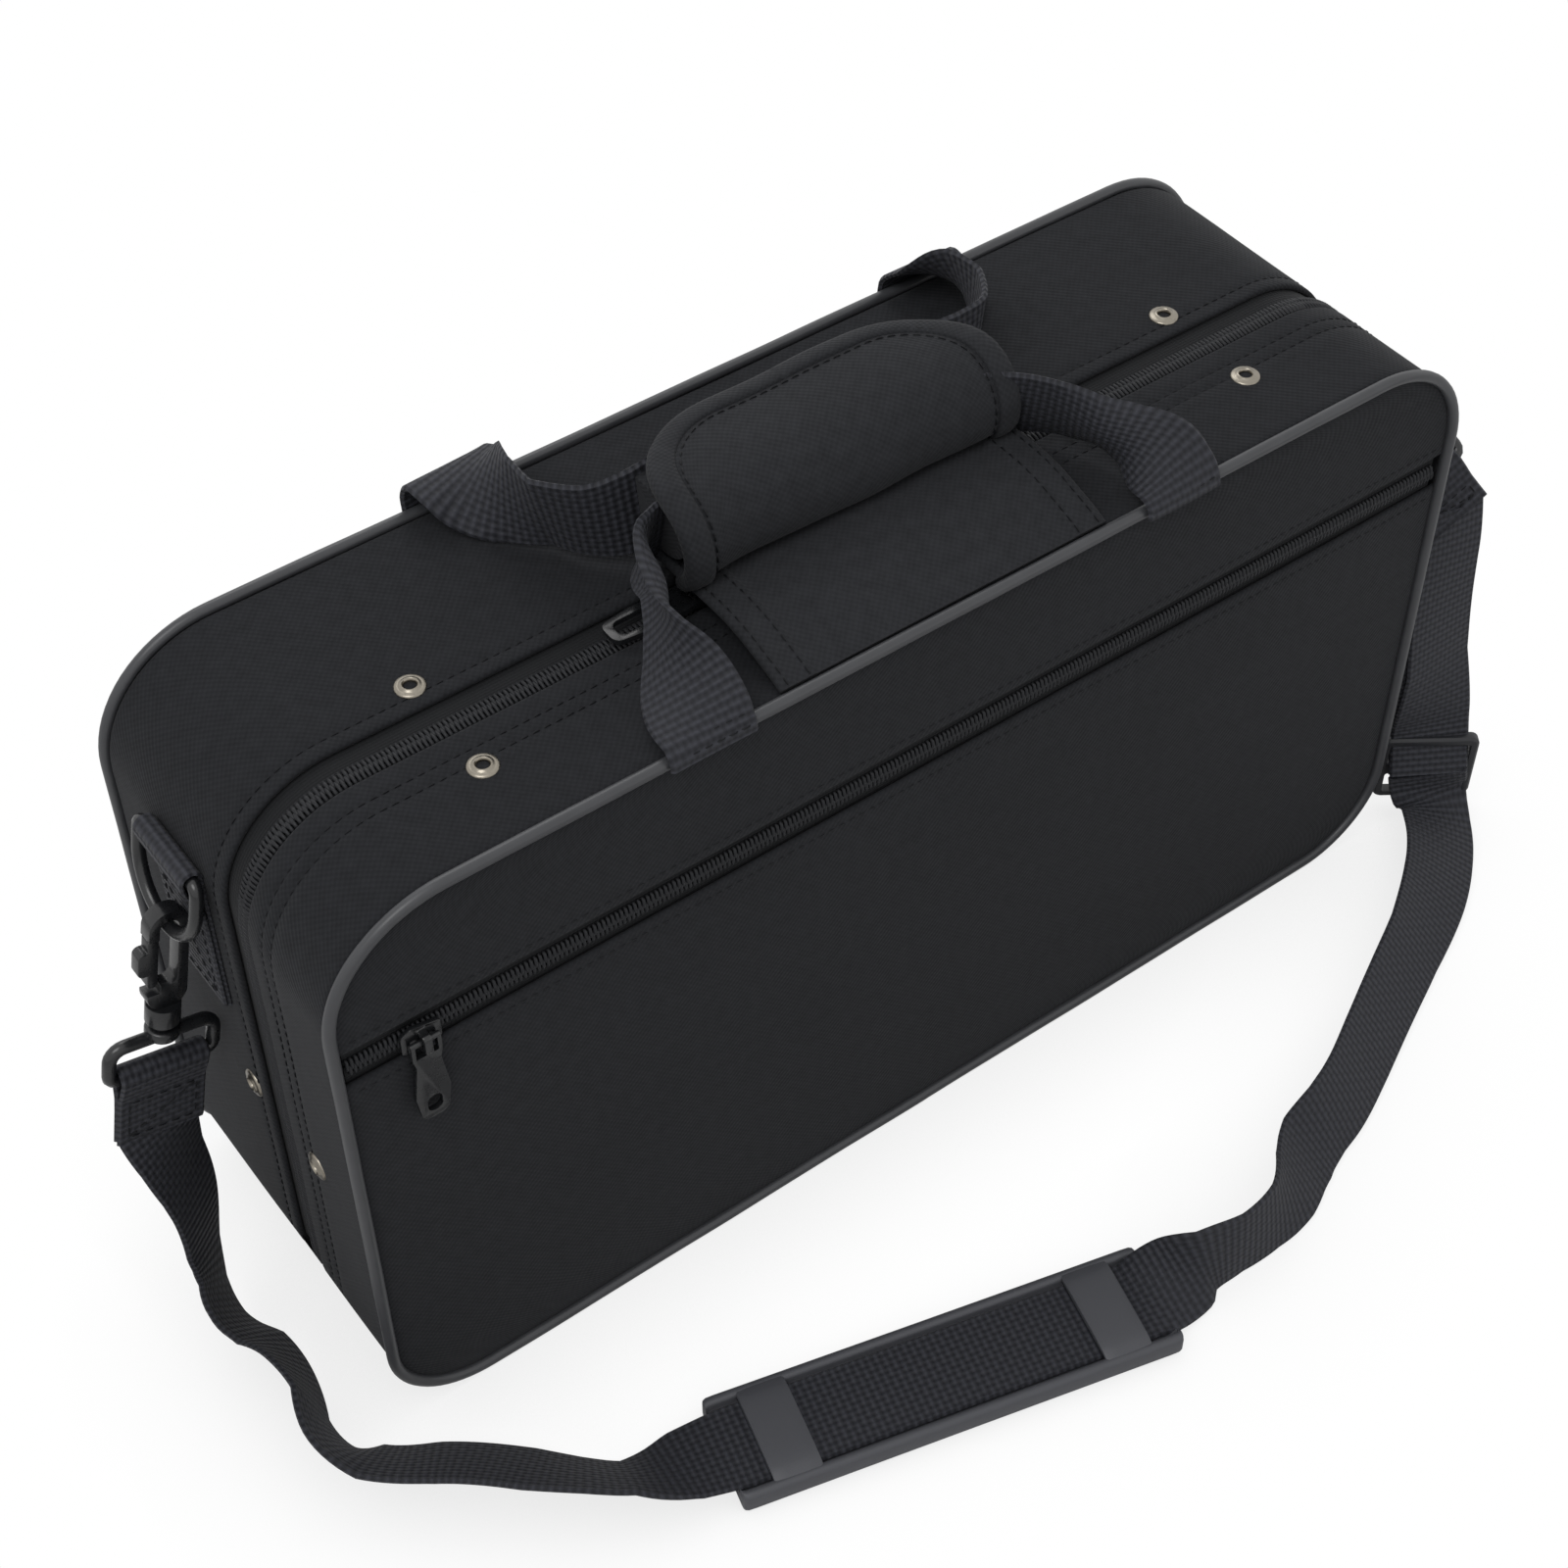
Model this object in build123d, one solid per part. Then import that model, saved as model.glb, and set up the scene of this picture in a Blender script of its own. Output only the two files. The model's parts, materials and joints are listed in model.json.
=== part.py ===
"""Soft-shell clarinet case: two zipped halves, plush insert, carrying handle, pocket and shoulder strap.

Millimetres, +Z up. The case stands on its long hinge side. The origin is the centre of the case on the
surface it stands on, -Y is the pocket side and +X runs along the case.
"""
from build123d import *
import os
from math import atan2, cos, hypot, radians, sin, tan

# ---- driving dimensions ---------------------------------------------------------------------------
CASE_LENGTH = 360.0
CASE_HEIGHT = 195.0
CASE_DEPTH = 110.4
LID_DEPTH = 41.2
TOP_RADIUS = 34.0
BOTTOM_RADIUS = 28.0
PIPING_RADIUS = 1.7
PIPING_CLEARANCE = 0.05
PIPING_SIDES = 8

CLOTH = 1.2
BOARD = 3.0
BOARD_CLEARANCE = 0.1
FOAM_CLEARANCE = 0.2

# zip cross-section: hem folded under the cover, tape under the hem, coil on the tape
HEM = 0.8
HEM_WIDTH = 4.0
TAPE = 0.8
BASE_TAPE_SHOWN = 9.0
LID_TAPE_SHOWN = 3.0
COIL_WIDTH = 2.0
COIL_HEIGHT = 1.6
COIL_SLOT = 1.0
ZIP_END_HEIGHT = 24.0
HINGE_GAP = 0.6
HINGE_SKIN = 0.1
HINGE_CLOTH = 1.0

# front pocket
POCKET_GAP = 6.0
POCKET_ZIP_HEIGHT = 149.0
POCKET_ZIP_OPENING = 11.4
POCKET_ZIP_INSET = 2.6

# plush insert
INSERT_SETBACK = 3.0
POCKET_WALL_RADIUS = 6.0
JOINT_POCKET_DEPTH = 36.0
JOINT_POCKET_WIDTH = 38.0
LOWER_JOINT_LENGTH = 258.0
UPPER_JOINT_LENGTH = 234.0
MOUTHPIECE_LENGTH = 98.0
BARREL_LENGTH = 70.0
BELL_LENGTH = 110.0
BELL_RADIUS = 39.0
BELL_SOCKET_RADIUS = 18.0
BELL_AXIS_DEPTH = 15.0
BELL_X = 132.0
BELL_LIFT = 9.0
INSERT_MARGIN = 5.0
INSERT_RIB = 9.0
WELL_DEPTH = 30.0
WELL_WIDTH = 34.0
LID_PAD_THICKNESS = 10.0
LID_PAD_BEVEL = 5.0

# tubular rivets
RIVET_X = 120.0
RIVET_HEIGHT = 86.0
RIVET_FROM_ZIP = 16.3
RIVET_HEAD_RADIUS = 4.0
RIVET_HEAD = 1.1
RIVET_BARREL_RADIUS = 2.0
RIVET_BORE_RADIUS = 1.4
RIVET_CLEARANCE = 0.05

# carrying handle
WEBBING_WIDTH = 25.0
WEBBING = 1.6
HANDLE_ANCHOR_X = 73.5
HANDLE_TAIL = 5.5
GRIP_LENGTH = 104.0
GRIP_WIDTH = 36.0
GRIP_HEIGHT = 23.0
GRIP_CENTRE_Y = 1.0
GRIP_CORNER = 9.0
GRIP_WRAP = 1.2
GRIP_FOAM = 2.3
GRIP_ABOVE_CASE = 8.8
MOUTH_LOW = 2.0
MOUTH_HIGH = 9.0
TONGUE_CORNER = 14.0
FRONT_BAND_HEIGHT = 10.5
BACK_BAND_HEIGHT = 5.7
FLAP_WIDTH = 102.0
FLAP = 1.4
FLAP_REACH_Y = 6.0

# zip sliders and pullers
SLIDER_LENGTH = 11.0
SLIDER_WIDTH = 9.0
SLIDER_NOSE_WIDTH = 6.0
SLIDER_LOW = (-4.2, -3.0)
SLIDER_HIGH = (0.1, 1.4)
SLIDER_NECK = (3.0, 0.7)
CROWN_LENGTH = 6.4
CROWN_HEIGHT = 3.7
CROWN_WIDTH = 2.2
CROWN_WALL = 1.2
PULLER_BAR_HEIGHT = 2.6
PULLER_THICKNESS = 1.6
PULLER_LENGTH = 28.0
PULLER_WIDTH = 8.0
PULLER_ARM = 1.7
MAIN_PULLER = (16.0, 4.4, 7.4)
POCKET_PULLER = (5.6, 3.4, 5.6)
LEFT_SLIDER_X = -46.0
RIGHT_SLIDER_X = -30.0
POCKET_SLIDER_X = -158.0

# side rings, snap hooks and shoulder strap
RING_Y = 16.0
RING_HEIGHT = 167.0
RING_WIRE_RADIUS = 1.8
RING_HALF_WIDTH = 14.8
RING_STRAIGHT = 8.0
RING_CORNER = 1.4
RING_TILT = {"left": 12.0, "right": 20.0}
TAB_WIDTH = 25.0
TAB_PLY = 1.1
TAB_TAIL = 48.0
TAB_BORE_CLEARANCE = 0.1
HOOK_WIDTH = 11.0
HOOK_THICKNESS = 4.6
HOOK_WALL = 2.9
HOOK_TOP = 5.0
HOOK_FOOT = -28.0
HOOK_WINDOW_FOOT = -20.0
HOOK_NOSE = -3.4
HOOK_CLEARANCE = 0.3
GATE_CLEARANCE = 0.2
SWIVEL_RADIUS = 4.6
SWIVEL_WAIST_RADIUS = 3.0
EYE_DROP = 50.0
EYE_HALF_WIDTH = 14.6
EYE_WIRE_RADIUS = 1.9
EYE_HEIGHT = 11.0
EYE_LOW_CORNER = 1.6
EYE_HIGH_CORNER = 3.0
HOOK_SWING = {"left": 0.0, "right": -52.0}

STRAP_WIDTH = 25.0
STRAP = 1.6
STRAP_LIFT = 0.2
STRAP_END_LENGTH = {"left": 20.0, "right": 12.0}
STRAP_RIGHT_X = 202.4
PAD_STRAP_END = 80.0
PAD_STRAP_BEND = 8.0
PAD_LENGTH = 129.0
PAD_WIDTH = 33.0
PAD_BASE = 4.6
PAD_LIP = 2.8
PAD_LIP_WIDTH = 3.0
PAD_CENTRE = (-56.5, -134.0)
PAD_ANGLE = -14.4
KEEPER_LENGTH = 14.0
KEEPER = 1.4
KEEPER_INSET = 9.0
ADJUSTER_WIDTH = 31.0
ADJUSTER_HEIGHT = 26.0
ADJUSTER_THICKNESS = 3.4
ADJUSTER_FRAME = 2.6
ADJUSTER_BAR = 4.0

# strap routes, chosen by hand: (x, y) where it lies flat, (y, z) where it hangs
LEFT_ROUTE = [(-202.5, -1.4), (-202.5, -14), (-200, -30), (-203, -53), (-190, -76), (-166, -98)]
RIGHT_ROUTE = [(60, -150), (82, -137), (108, -127), (137, -114), (163, -106), (185, -99), (198.5, -86),
               (202.4, -70.5)]
LEFT_DROP_ROUTE = [(16, 70.8), (16.6, 44), (14.5, 22), (8.5, 6.5), (-0.6, 1.0)]
UPPER_ROUTE = [(-49.5, 108.5), (-56, 99), (-58, 80), (-57.5, 62), (-56, 44)]
RISE_ROUTE = [(-56, 16.5), (-56, 1.8), (-67, 1.0)]

# ---- derived places -------------------------------------------------------------------------------
FLOOR = PIPING_RADIUS
TOP = FLOOR + CASE_HEIGHT
SIDE = CASE_LENGTH / 2
BACK_Y = CASE_DEPTH / 2
FRONT_Y = -CASE_DEPTH / 2
ZIP_Y = FRONT_Y + LID_DEPTH
SEAM = PIPING_RADIUS + PIPING_CLEARANCE
BASE_EDGE = ZIP_Y + BASE_TAPE_SHOWN
LID_EDGE = ZIP_Y - LID_TAPE_SHOWN
BASE_RIM = BASE_EDGE + HEM_WIDTH + 0.2
LID_RIM = LID_EDGE - HEM_WIDTH - 0.2
TAPE_TOP = CLOTH + HEM
LINING_Y = FRONT_Y + CLOTH + POCKET_GAP
LID_BOARD_Y = LINING_Y + CLOTH
LID_PAD_Y = LID_BOARD_Y + BOARD
INSERT_INSET = CLOTH + BOARD + FOAM_CLEARANCE
INSERT_BACK = BACK_Y - CLOTH - BOARD
INSERT_FACE = ZIP_Y + INSERT_SETBACK
POCKET_ZIP_Z = FLOOR + POCKET_ZIP_HEIGHT
GRIP_LOW = TOP + GRIP_ABOVE_CASE
GRIP_HIGH = GRIP_LOW + GRIP_HEIGHT
GRIP_FRONT = GRIP_CENTRE_Y - GRIP_WIDTH / 2
GRIP_BACK = GRIP_CENTRE_Y + GRIP_WIDTH / 2
RING_BAR_X = SIDE + TAB_PLY + TAB_BORE_CLEARANCE + RING_WIRE_RADIUS + 0.1
SIDES = {"left": -1, "right": 1}


# ---- drawing helpers ------------------------------------------------------------------------------
def upright_plane(y):
    """Drawing plane across the case at depth y, seen from the pocket side."""
    return Plane((0, y, 0), x_dir=(1, 0, 0), z_dir=(0, -1, 0))


def side_plane(x):
    """Drawing plane of (y, z) at position x; it extrudes towards +X."""
    return Plane((x, 0, 0), x_dir=(0, 1, 0), z_dir=(1, 0, 0))


def outline(inset):
    """The case's rounded outline, inset evenly."""
    shape = Rectangle(CASE_LENGTH - 2 * inset, CASE_HEIGHT - 2 * inset)
    shape = fillet(shape.vertices().group_by(Axis.Y)[-1], TOP_RADIUS - inset)
    shape = fillet(shape.vertices().group_by(Axis.Y)[0], BOTTOM_RADIUS - inset)
    return Pos(0, FLOOR + CASE_HEIGHT / 2) * shape


def slab(inset, y_back, y_front):
    """The outline as a solid plate from y_back forward to y_front."""
    return extrude(upright_plane(y_back) * outline(inset), y_back - y_front)


def band(outer, inner, y_back, y_front):
    """A hoop that follows the outline between two insets."""
    return slab(outer, y_back, y_front) - slab(inner, y_back, y_front)


def block(x, y, z):
    """A box from three (low, high) pairs."""
    size = [high - low for low, high in (x, y, z)]
    centre = [(high + low) / 2 for low, high in (x, y, z)]
    return Pos(*centre) * Box(*size)


def above_zip_end():
    big = CASE_LENGTH
    return block((-big, big), (-big, big), (FLOOR + ZIP_END_HEIGHT, 2 * big))


def below_zip_end():
    big = CASE_LENGTH
    return block((-big, big), (-big, big), (-big, FLOOR + ZIP_END_HEIGHT))


def piping(y):
    """Covered cord laid along the outline at depth y; its section is kept to a few flats."""
    path = upright_plane(y) * outline(0).face().outer_wire()
    flats = RegularPolygon(PIPING_RADIUS, PIPING_SIDES, major_radius=False)
    section = Plane(path @ 0, z_dir=path % 0) * Rot(0, 0, 180 / PIPING_SIDES) * flats
    return sweep(section, path=path)


def corner_radii(points):
    """Arc at each corner of a route: 0.45 of the shorter run, divided by the tangent of half the turn."""
    radii = []
    for before, corner, after in zip(points, points[1:], points[2:]):
        arriving = (corner[0] - before[0], corner[1] - before[1])
        leaving = (after[0] - corner[0], after[1] - corner[1])
        turn = atan2(
            arriving[0] * leaving[1] - arriving[1] * leaving[0],
            arriving[0] * leaving[0] + arriving[1] * leaving[1],
        )
        radii.append(0.45 * min(hypot(*arriving), hypot(*leaving)) / tan(abs(turn) / 2))
    return radii


def route_line(points):
    return FilletPolyline(*points, radius=corner_radii(points))


def strip(points, width):
    """Flat face of that width along a route, drawn in the current plane's coordinates."""
    return trace(route_line(points), width)


def floor_webbing(points):
    """Strap laid flat on the resting surface along a route in plan."""
    return Pos(0, 0, STRAP_LIFT) * extrude(strip(points, STRAP_WIDTH), STRAP)


def side_webbing(points, centre_x, width, thickness):
    """Webbing whose edge follows a (y, z) route, with its width along X."""
    return extrude(side_plane(centre_x - width / 2) * strip(points, thickness), width)


# ---- shells ---------------------------------------------------------------------------------------
def rivet_places(y):
    """Where rivets pass through the cover beside the zip, with +Z pointing out of the case."""
    places = [Pos(x, y, TOP) for x in (-RIVET_X, RIVET_X)]
    for sign in (-1, 1):
        places.append(Pos(sign * SIDE, y, FLOOR + RIVET_HEIGHT) * Rot(0, sign * 90, 0))
    return places


def rivet_holes(y):
    reach = 4 * (CLOTH + BOARD)
    radius = RIVET_BARREL_RADIUS + RIVET_CLEARANCE
    return [place * Cylinder(radius, reach) for place in rivet_places(y)]


BASE_RIVET_Y = ZIP_Y + RIVET_FROM_ZIP
LID_RIVET_Y = ZIP_Y - RIVET_FROM_ZIP


def make_base_shell():
    """Back half: cloth gusset and back panel that meet at the piping, over a stiff board."""
    gusset = band(0, CLOTH, BACK_Y - SEAM, BASE_EDGE)
    gusset += band(CLOTH, TAPE_TOP, BASE_EDGE + HEM_WIDTH, BASE_EDGE)
    board_back = BACK_Y - CLOTH - BOARD_CLEARANCE
    board = slab(CLOTH, board_back, BASE_RIM) - slab(CLOTH + BOARD, INSERT_BACK, BASE_RIM)
    holes = rivet_holes(BASE_RIVET_Y)
    return {
        "base_gusset": gusset - holes,
        "back_panel": slab(SEAM, BACK_Y, BACK_Y - CLOTH),
        "base_board": board - holes,
        "back_piping": piping(BACK_Y),
    }


def make_lid_shell():
    """Front half: its gusset, the pocket's lining and the lid's board behind it."""
    gusset = band(0, CLOTH, LID_EDGE, FRONT_Y + SEAM)
    gusset += band(CLOTH, TAPE_TOP, LID_EDGE, LID_EDGE - HEM_WIDTH)
    board = slab(CLOTH, LID_RIM, LID_BOARD_Y) - slab(CLOTH + BOARD, LID_RIM, LID_PAD_Y)
    holes = rivet_holes(LID_RIVET_Y)
    return {
        "lid_gusset": gusset - holes,
        "pocket_lining": slab(CLOTH, LID_BOARD_Y, LINING_Y),
        "lid_board": board - holes,
        "front_piping": piping(FRONT_Y),
    }


def make_lid_pad():
    """Foam pad in the lid, bevelled round the face that presses on the instrument."""
    pad = slab(INSERT_INSET, LID_PAD_Y + LID_PAD_THICKNESS, LID_PAD_Y)
    return chamfer(pad.faces().sort_by(Axis.Y)[-1].edges(), LID_PAD_BEVEL)


# ---- insert ---------------------------------------------------------------------------------------
def well(x, z, depth):
    """A rounded pocket sunk into the insert's face between two x and two z values."""
    hollow = block(x, (INSERT_FACE - 1, INSERT_FACE + depth), z)
    return fillet(hollow.edges().filter_by(Axis.Y), POCKET_WALL_RADIUS)


def bell_well(z_low):
    """The bell's tapered pocket: a cone round its axis, open straight up to the insert's face."""
    axis_y = INSERT_FACE + BELL_AXIS_DEPTH
    z_high = z_low + BELL_LENGTH
    cone = Pos(BELL_X, axis_y, (z_low + z_high) / 2) * Cone(BELL_RADIUS, BELL_SOCKET_RADIUS, BELL_LENGTH)
    mouth = Polygon(
        (BELL_X - BELL_RADIUS, z_low), (BELL_X + BELL_RADIUS, z_low),
        (BELL_X + BELL_SOCKET_RADIUS, z_high), (BELL_X - BELL_SOCKET_RADIUS, z_high), align=None,
    )
    return cone + extrude(upright_plane(axis_y) * mouth, BELL_AXIS_DEPTH + 1)


def make_insert():
    insert = slab(INSERT_INSET, INSERT_BACK, INSERT_FACE)
    left = -SIDE + INSERT_INSET + INSERT_MARGIN
    low = FLOOR + INSERT_INSET + INSERT_MARGIN
    width = JOINT_POCKET_WIDTH
    row_2 = low + width + INSERT_RIB
    row_3 = row_2 + width + INSERT_RIB
    row_4 = row_3 + width + INSERT_RIB - 3
    barrel = left + MOUTHPIECE_LENGTH + INSERT_RIB
    depth = JOINT_POCKET_DEPTH
    insert -= well((left, left + LOWER_JOINT_LENGTH), (low, low + width), depth)
    insert -= well((left, left + UPPER_JOINT_LENGTH), (row_2, row_2 + width), depth)
    insert -= well((left, left + MOUTHPIECE_LENGTH), (row_3, row_3 + width), depth)
    insert -= well((barrel, barrel + BARREL_LENGTH), (row_3, row_3 + width), depth)
    reeds = barrel + BARREL_LENGTH + INSERT_RIB
    insert -= well((reeds, BELL_X - BELL_SOCKET_RADIUS - INSERT_RIB), (row_3, row_3 + width), WELL_DEPTH)
    insert -= well((-SIDE + 40, SIDE - 40), (row_4, row_4 + WELL_WIDTH), WELL_DEPTH)
    return insert - bell_well(low + BELL_LIFT)


# ---- zip ------------------------------------------------------------------------------------------
def zip_hoop(outer, inner, y_back, y_front):
    """Part of the zip: along the top and down both sides, as far as the hinge."""
    return band(outer, inner, y_back, y_front) & above_zip_end()


def make_zip_tapes():
    split = COIL_SLOT / 2
    tapes = {
        "base_zip_tape": zip_hoop(TAPE_TOP, TAPE_TOP + TAPE, BASE_EDGE + HEM_WIDTH, ZIP_Y + split),
        "lid_zip_tape": zip_hoop(TAPE_TOP, TAPE_TOP + TAPE, ZIP_Y - split, LID_EDGE - HEM_WIDTH),
    }
    coil_top = TAPE_TOP - COIL_HEIGHT
    tapes["base_zip_coil"] = zip_hoop(coil_top, TAPE_TOP, ZIP_Y + split + COIL_WIDTH, ZIP_Y + split)
    tapes["lid_zip_coil"] = zip_hoop(coil_top, TAPE_TOP, ZIP_Y - split, ZIP_Y - split - COIL_WIDTH)
    return tapes


def make_hinge_leaves():
    """The cloth hinge along the bottom, as two leaves that meet on the hinge line."""
    skin = HINGE_SKIN
    base = band(skin, skin + HINGE_CLOTH, BASE_EDGE, ZIP_Y + HINGE_GAP / 2) & below_zip_end()
    lid = band(skin, skin + HINGE_CLOTH, ZIP_Y - HINGE_GAP / 2, LID_EDGE) & below_zip_end()
    return {"hinge_strip_base": base, "hinge_strip_lid": lid}


def pocket_layer(z, y_back, y_front, inset):
    """A level stretch of the front panel between two heights."""
    sheet = slab(inset, y_back, y_front)
    return sheet & block((-SIDE, SIDE), (y_front - 1, y_back + 1), z)


def make_pocket():
    half = POCKET_ZIP_OPENING / 2
    split = COIL_SLOT / 2
    panel_back = FRONT_Y + CLOTH
    hem_back = panel_back + HEM
    zip_low, zip_high = POCKET_ZIP_Z - half, POCKET_ZIP_Z + half
    lower = pocket_layer((0, zip_low), panel_back, FRONT_Y, SEAM)
    lower += pocket_layer((zip_low - HEM_WIDTH, zip_low), hem_back, panel_back, SEAM)
    upper = pocket_layer((zip_high, TOP), panel_back, FRONT_Y, SEAM)
    upper += pocket_layer((zip_high, zip_high + HEM_WIDTH), hem_back, panel_back, SEAM)
    tape_back = hem_back + TAPE
    reach = half + HEM_WIDTH
    coil_front = hem_back - COIL_HEIGHT
    ends = POCKET_ZIP_INSET
    tape = [
        pocket_layer((POCKET_ZIP_Z - reach, POCKET_ZIP_Z - split), tape_back, hem_back, ends),
        pocket_layer((POCKET_ZIP_Z + split, POCKET_ZIP_Z + reach), tape_back, hem_back, ends),
    ]
    coil_reach = split + COIL_WIDTH
    coil = [
        pocket_layer((POCKET_ZIP_Z - coil_reach, POCKET_ZIP_Z - split), hem_back, coil_front, ends),
        pocket_layer((POCKET_ZIP_Z + split, POCKET_ZIP_Z + coil_reach), hem_back, coil_front, ends),
    ]
    return {
        "pocket_panel_lower": lower,
        "pocket_panel_upper": upper,
        "pocket_zip_tape": tape,
        "pocket_zip_coil": coil,
    }


# ---- sliders: local X along the coil, local Z out of the cloth, z = 0 on the cloth's face ---------
def slider_plate(low, high):
    half_length, half_width, half_nose = SLIDER_LENGTH / 2, SLIDER_WIDTH / 2, SLIDER_NOSE_WIDTH / 2
    shape = Polygon(
        (-half_length, -half_nose), (half_length - 3, -half_width), (half_length, -half_nose),
        (half_length, half_nose), (half_length - 3, half_width), (-half_length, half_nose), align=None,
    )
    shape = fillet(shape.vertices(), 1.0)
    return Pos(0, 0, low) * extrude(shape, high - low)


def slider(crown_turn=0):
    """Two plates joined by a neck between the coils, with a crown that the puller hangs from."""
    body = slider_plate(*SLIDER_LOW) + slider_plate(*SLIDER_HIGH)
    neck_length, neck_width = SLIDER_NECK
    body += block((1, 1 + neck_length), (-neck_width / 2, neck_width / 2), (SLIDER_LOW[0], SLIDER_HIGH[1]))
    half = CROWN_LENGTH / 2
    foot = SLIDER_HIGH[1]
    crown = block((-half, half), (-CROWN_WIDTH / 2, CROWN_WIDTH / 2), (foot, foot + CROWN_HEIGHT))
    crown = fillet(crown.edges().filter_by(Axis.Y).group_by(Axis.Z)[-1], 1.4)
    room = half - CROWN_WALL
    opening = block((-room, room), (-SLIDER_WIDTH, SLIDER_WIDTH), (foot, foot + CROWN_HEIGHT - CROWN_WALL))
    return body + Rot(0, 0, crown_turn) * (crown - opening)


def puller(hole_length, hole_width, root_width):
    """A flat tab that points along local -X from its bar, with a hole near its free end."""
    bar_reach = PULLER_WIDTH / 2 - 0.6
    bar = Rot(90, 0, 0) * Cylinder(PULLER_THICKNESS / 2, 2 * bar_reach)
    root = 4.6
    tip = PULLER_LENGTH
    half, half_root = PULLER_WIDTH / 2, root_width / 2
    shape = Polygon(
        (0, -bar_reach), (0, bar_reach), (-root, bar_reach), (-root - 3, half_root), (-tip + 9, half),
        (-tip, half - 1), (-tip, 1 - half), (-tip + 9, -half), (-root - 3, -half_root),
        (-root, -bar_reach), align=None,
    )
    shape = fillet(shape.vertices().group_by(Axis.X)[0], 2.2)
    slot = Pos(-root / 2, 0) * Rectangle(root, 2 * (bar_reach - PULLER_ARM / 2))
    hole = Pos(-tip + 2.2 + hole_length / 2, 0) * SlotOverall(hole_length, hole_width)
    plate = extrude(shape - slot - hole, PULLER_THICKNESS / 2, both=True)
    return plate + bar


def make_sliders():
    left = Pos(LEFT_SLIDER_X, ZIP_Y, TOP)
    right = Pos(RIGHT_SLIDER_X, ZIP_Y, TOP) * Rot(0, 0, 180)
    face = Pos(POCKET_SLIDER_X, FRONT_Y, POCKET_ZIP_Z) * Rot(90, 0, 0)
    lift = Pos(0, 0, PULLER_BAR_HEIGHT)
    return {
        "main_slider_left": left * slider(),
        "main_slider_right": right * slider(),
        "main_puller_left": left * lift * puller(*MAIN_PULLER),
        "main_puller_right": right * lift * puller(*MAIN_PULLER),
        "pocket_slider": face * Rot(0, 0, 180) * slider(crown_turn=90),
        "pocket_puller": face * lift * Rot(0, 0, 90) * puller(*POCKET_PULLER),
    }


# ---- rivets ---------------------------------------------------------------------------------------
def rivet():
    """Hollow rivet: domed collar outside, barrel through cloth and board."""
    grip = CLOTH + BOARD
    edge = [
        (RIVET_BORE_RADIUS, RIVET_HEAD), (RIVET_HEAD_RADIUS - 1.2, RIVET_HEAD), (RIVET_HEAD_RADIUS, 0),
        (RIVET_BARREL_RADIUS, 0), (RIVET_BARREL_RADIUS, -grip), (RIVET_BORE_RADIUS, -grip),
    ]
    return revolve(Plane.XZ * Polygon(*edge, align=None), Axis.Z)


def make_rivets():
    return {
        "base_rivets": [place * rivet() for place in rivet_places(BASE_RIVET_Y)],
        "lid_rivets": [place * rivet() for place in rivet_places(LID_RIVET_Y)],
    }


# ---- handle ---------------------------------------------------------------------------------------
def leg(sign_y, end_y, end_z):
    """One webbing leg: over the piping from its sewn tail, then in to the grip."""
    outside = BACK_Y + PIPING_RADIUS + WEBBING / 2 + 0.4
    over = TOP + PIPING_RADIUS + WEBBING / 2 + 0.5
    points = [
        (sign_y * outside, TOP - HANDLE_TAIL), (sign_y * outside, over - 1.5),
        (sign_y * (outside - 3.5), over + 2), (end_y, end_z),
    ]
    line = FilletPolyline(*points, radius=[1.6, 4.0])
    return trace(line, WEBBING)


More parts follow.
